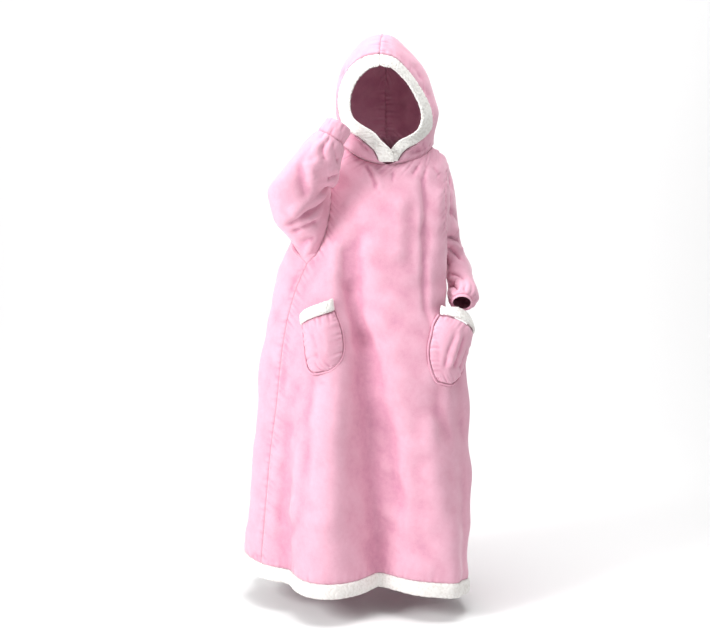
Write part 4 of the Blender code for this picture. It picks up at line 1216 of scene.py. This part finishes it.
def pocket_place(side, across, down):
    """A place on the panel and its outward direction, in metres from a pocket's middle."""
    slope = math.tan(math.radians(pocket_value(side, "slope")))
    lean = math.tan(math.radians(pocket_value(side, "lean")))
    right = across + down * lean
    below = down - across * slope * (0.75 - 0.5 * down / pocket_value(side, "height"))
    places, ways = panel_column(pocket_value(side, "distance") + right)
    along = np.concatenate([[0], np.cumsum(np.linalg.norm(np.diff(places, axis=0), axis=1))])
    at = np.interp(-pocket_value(side, "middle_z"), -places[:, 2], along) + below
    place = np.array([np.interp(at, along, places[:, k]) for k in range(3)])
    return place, unit(np.array([np.interp(at, along, ways[:, k]) for k in range(3)]))


def pocket_reach(side, across, down):
    """How far from the pocket's middle a share of its width lies, at a share of its height."""
    outline = np.array(POCKET_OUTLINES[side])
    near, far = curve(outline[:, 0], outline[:, 1:], np.clip(down, 0, 1))[0]
    return (near + (far - near) * (across + 1) / 2) * pocket_value(side, "width") / 2


def pocket_stand(side, across, down):
    """How far the pocket's cloth stands out from the panel's middle surface."""
    dome = max(1 - across**2, 0) ** 0.75 * max(1 - down**2.4, 0) ** 0.9
    return PLUSH + pocket_value(side, "gap") + pocket_value(side, "bulge") * dome


def pocket_grid(side):
    points = []
    for down in np.linspace(0, 1, POCKET_ROW_COUNT + 1):
        row = []
        for across in np.linspace(-1, 1, POCKET_COLUMN_COUNT + 1):
            below = (down - 0.5) * pocket_value(side, "height")
            place, way = pocket_place(side, pocket_reach(side, across, down), below)
            row.append(place + way * pocket_stand(side, across, down))
        points.append(row)
    return np.array(points)


def pocket_band_edges(side):
    """The lower and upper edges of the pile band at a pocket's mouth, and its directions."""
    low, high, ways = [], [], []
    for across in np.linspace(-1, 1, 17):
        stand = pocket_stand(side, across, 0.0) + PILE / 2 - PLUSH / 2
        stand += pocket_value(side, "mouth_gap")
        for edge, down in ((low, 0.0), (high, -POCKET_BAND)):
            below = down - pocket_value(side, "height") / 2 - BAND_GAP
            place, way = pocket_place(side, pocket_reach(side, across * 1.03, 0), below)
            edge.append(place + way * stand)
        ways.append(way)
    return np.array(low), np.array(high), np.array(ways)


def sewn_line(side, beside, stand, samples):
    """A line down one side of a pocket, round its foot and up again, beside its edge."""
    outline = [(-1.0, down) for down in np.linspace(0, 1, 25)]
    outline += [(across, 1.0) for across in np.linspace(-1, 1, 13)[1:-1]]
    outline += [(1.0, down) for down in np.linspace(1, 0, 25)]
    flat = np.array(
        [
            (pocket_reach(side, across, down), (down - 0.5) * pocket_value(side, "height"))
            for across, down in outline
        ]
    )
    steps = np.gradient(flat, axis=0)
    sideways = unit(np.stack([-steps[:, 1], steps[:, 0]], axis=1))
    sideways *= np.where((sideways * (flat - (0, -0.02))).sum(axis=1) < 0, -1, 1)[:, None]
    line, ways = [], []
    for across, down in spline(flat + sideways * beside, np.linspace(0, 1, samples + 1)):
        place, way = pocket_place(side, across, down)
        line.append(place + way * stand)
        ways.append(way)
    return np.array(line), np.array(ways)


def piping(name, line, ways, radius, material, seed):
    """A soft raised cord of plush that lies on the panel along a line."""
    along = unit(np.gradient(line, axis=0))
    beside = np.cross(along, ways)
    turn = 2 * np.pi * np.arange(14) / 14
    at = np.arange(len(line)) / len(line)
    size = radius * (1 + 0.10 * ripple(at, 0.05, seed))
    points = line[:, None] + size[:, None, None] * (
        np.cos(turn)[None, :, None] * beside[:, None] + np.sin(turn)[None, :, None] * ways[:, None]
    )
    faces = []
    count = len(turn)
    for r in range(len(line) - 1):
        for k in range(count):
            n = (k + 1) % count
            faces.append((r * count + k, r * count + n, (r + 1) * count + n, (r + 1) * count + k))
    faces.append(tuple(range(count))[::-1])
    faces.append(tuple(range((len(line) - 1) * count, len(line) * count)))
    return closed_piece(name, points.reshape(-1, 3), faces, material)


def stitches(name, lines, material):
    """Short threads laid end to end along lines, each a small bent bar that dips at its ends."""
    points, faces = [], []
    for line, ways in lines:
        for k in range(0, len(line) - 3, 4):
            start, middle, end = line[k], line[k + 1], line[k + 3]
            start = start * 0.86 + end * 0.14
            end = end * 0.95 + start * 0.05
            along = unit(end - start)
            up = unit(ways[k + 1])
            beside = np.cross(along, up) * 0.00035
            first = len(points)
            for place, lift in ((start, -0.0004), ((start + end) / 2, 0.0004), (end, -0.0004)):
                for turn in range(6):
                    angle = turn * math.pi / 3
                    points.append(place + up * (lift + 0.00035 * math.sin(angle)) + beside * math.cos(angle))
            for r in range(2):
                for turn in range(6):
                    n = (turn + 1) % 6
                    a = first + r * 6
                    faces.append((a + turn, a + n, a + 6 + n, a + 6 + turn))
            faces.append(tuple(range(first, first + 6))[::-1])
            faces.append(tuple(range(first + 12, first + 18)))
    return closed_piece(name, np.array(points), faces, material)


POCKET_CREASES = {
    "right": (
        (0.010, -0.003, ((-0.3, 0.15), (-0.25, 0.5), (-0.3, 0.8))),
        (0.010, 0.002, ((0.2, 0.1), (0.25, 0.45), (0.2, 0.75))),
    ),
    "left": (
        (0.008, -0.007, ((0.12, 0.12), (0.16, 0.45), (0.14, 0.78))),
        (0.007, -0.004, ((-0.25, 0.2), (-0.22, 0.5), (-0.2, 0.8))),
        (0.008, 0.005, ((-0.05, 0.15), (-0.02, 0.5), (-0.03, 0.75))),
        (0.008, -0.004, ((0.55, 0.25), (0.55, 0.5), (0.5, 0.75))),
    ),
}
front_out = outward(front, False, 1)
front_starts = np.array([distance_at(at, seam("right_front", at)) for at in body_levels()])
front_ends = np.array([distance_at(at, seam("left_front", at)) for at in body_levels()])
thread = bpy.data.materials.new("pink thread")
thread.use_nodes = True
thread_shader = thread.node_tree.nodes["Principled BSDF"]
thread_shader.inputs["Roughness"].default_value = 0.6
thread_twist = thread.node_tree.nodes.new("ShaderNodeTexNoise")
thread_twist.inputs["Scale"].default_value = 900
thread_tone = thread.node_tree.nodes.new("ShaderNodeValToRGB")
thread_tone.color_ramp.elements[0].color = (0.30, 0.09, 0.15, 1.0)
thread_tone.color_ramp.elements[1].color = (0.50, 0.18, 0.27, 1.0)
thread.node_tree.links.new(thread_twist.outputs["Fac"], thread_tone.inputs["Fac"])
thread.node_tree.links.new(thread_tone.outputs["Color"], thread_shader.inputs["Base Color"])
for side in ("right", "left"):
    flat_pocket = pocket_grid(side)
    creases = []
    for width, depth, through in POCKET_CREASES[side]:
        spots = []
        for across, down in through:
            r = round(down * POCKET_ROW_COUNT)
            c = round((across + 1) / 2 * POCKET_COLUMN_COUNT)
            spots.append(tuple(flat_pocket[r, c]))
        creases.append(("pocket", width, depth, tuple(spots)))
    pocket = shell(
        f"pocket_{side}_plush",
        worn(flat_pocket, False, 1, creases, 61, 0.0012, 0.0012),
        False,
        1,
        pink_plush,
    )
    mouth = strip(
        f"pocket_{side}_band", *pocket_band_edges(side), PILE, 0.0016, 52, cream_pile, seed=6
    )
    edge, edge_ways = sewn_line(side, POCKET_PIPING + 0.0014, PLUSH / 2 + 0.0048, 150)
    cord = piping(f"pocket_{side}_piping", edge, edge_ways, POCKET_PIPING, pink_plush, 7)
    sewing = stitches(
        f"pocket_{side}_stitches",
        [sewn_line(side, beside, PLUSH / 2 + 0.0016, 480) for beside in (0.0092,)],
        thread,
    )
    for piece in (pocket, mouth, cord, sewing):
        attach(piece, "root")
    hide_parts(f"pocket_{side}")
    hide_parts(f"pocket_trim_{side}")
    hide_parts(f"pocket_piping_{side}")
    width, height = pocket_value(side, "width"), pocket_value(side, "height")

# The floor is a plain pale sweep that rises behind, lit by soft studio lamps.
FLOOR = -1.40
bpy.ops.mesh.primitive_plane_add(size=1)
floor = bpy.context.active_object
floor.name = "floor"
sweep = [(-7.0, FLOOR), (2.2, FLOOR)]
for turn in np.linspace(0, math.pi / 2, 13)[1:]:
    sweep.append((2.2 + 1.6 * math.sin(turn), FLOOR + 1.6 * (1 - math.cos(turn))))
sweep.append((3.8, 5.0))
corners, walls = [], []
for y, z in sweep:
    corners += [(-9.0, y, z), (9.0, y, z)]
for k in range(len(sweep) - 1):
    walls.append((2 * k, 2 * k + 1, 2 * k + 3, 2 * k + 2))
floor.data.clear_geometry()
floor.data.from_pydata(corners, [], walls)
floor.data.shade_smooth()
paper = bpy.data.materials.new("pale paper")
paper.use_nodes = True
paper_shader = paper.node_tree.nodes["Principled BSDF"]
paper_shader.inputs["Base Color"].default_value = (0.93, 0.93, 0.93, 1.0)
paper_shader.inputs["Roughness"].default_value = 0.9
floor.data.materials.append(paper)


def lamp(name, place, aim, power, size):
    """A soft square lamp that faces a point."""
    data = bpy.data.lights.new(name, "AREA")
    data.energy = power
    data.size = size
    made = bpy.data.objects.new(name, data)
    made.location = place
    made.rotation_euler = (Vector(aim) - Vector(place)).to_track_quat("-Z", "Y").to_euler()
    bpy.context.scene.collection.objects.link(made)


lamp("key lamp", (-2.5, -1.7, 0.5), (-0.1, 0.0, -0.5), 88, 1.1)
lamp("fill lamp", (1.6, -3.8, 0.6), (0.0, 0.0, -0.6), 16, 2.4)
lamp("back lamp", (0.0, -0.4, 3.4), (0.0, 2.8, 0.0), 190, 3.0)
world = bpy.data.worlds.new("studio air")
world.use_nodes = True
world.node_tree.nodes["Background"].inputs["Color"].default_value = (1.0, 1.0, 1.0, 1.0)
world.node_tree.nodes["Background"].inputs["Strength"].default_value = 0.30
bpy.context.scene.world = world
bpy.context.scene.view_settings.view_transform = "Standard"

camera_data = bpy.data.cameras.new("camera")
camera_data.sensor_width = 36
camera_data.lens = 1129 * 36 / 710
camera = bpy.data.objects.new("camera", camera_data)
camera.location = (-0.094, -3.4, -0.15)
camera.rotation_euler = (math.radians(90 - 6.4), 0, 0)
bpy.context.scene.collection.objects.link(camera)
bpy.context.scene.camera = camera

bpy.context.view_layer.update()
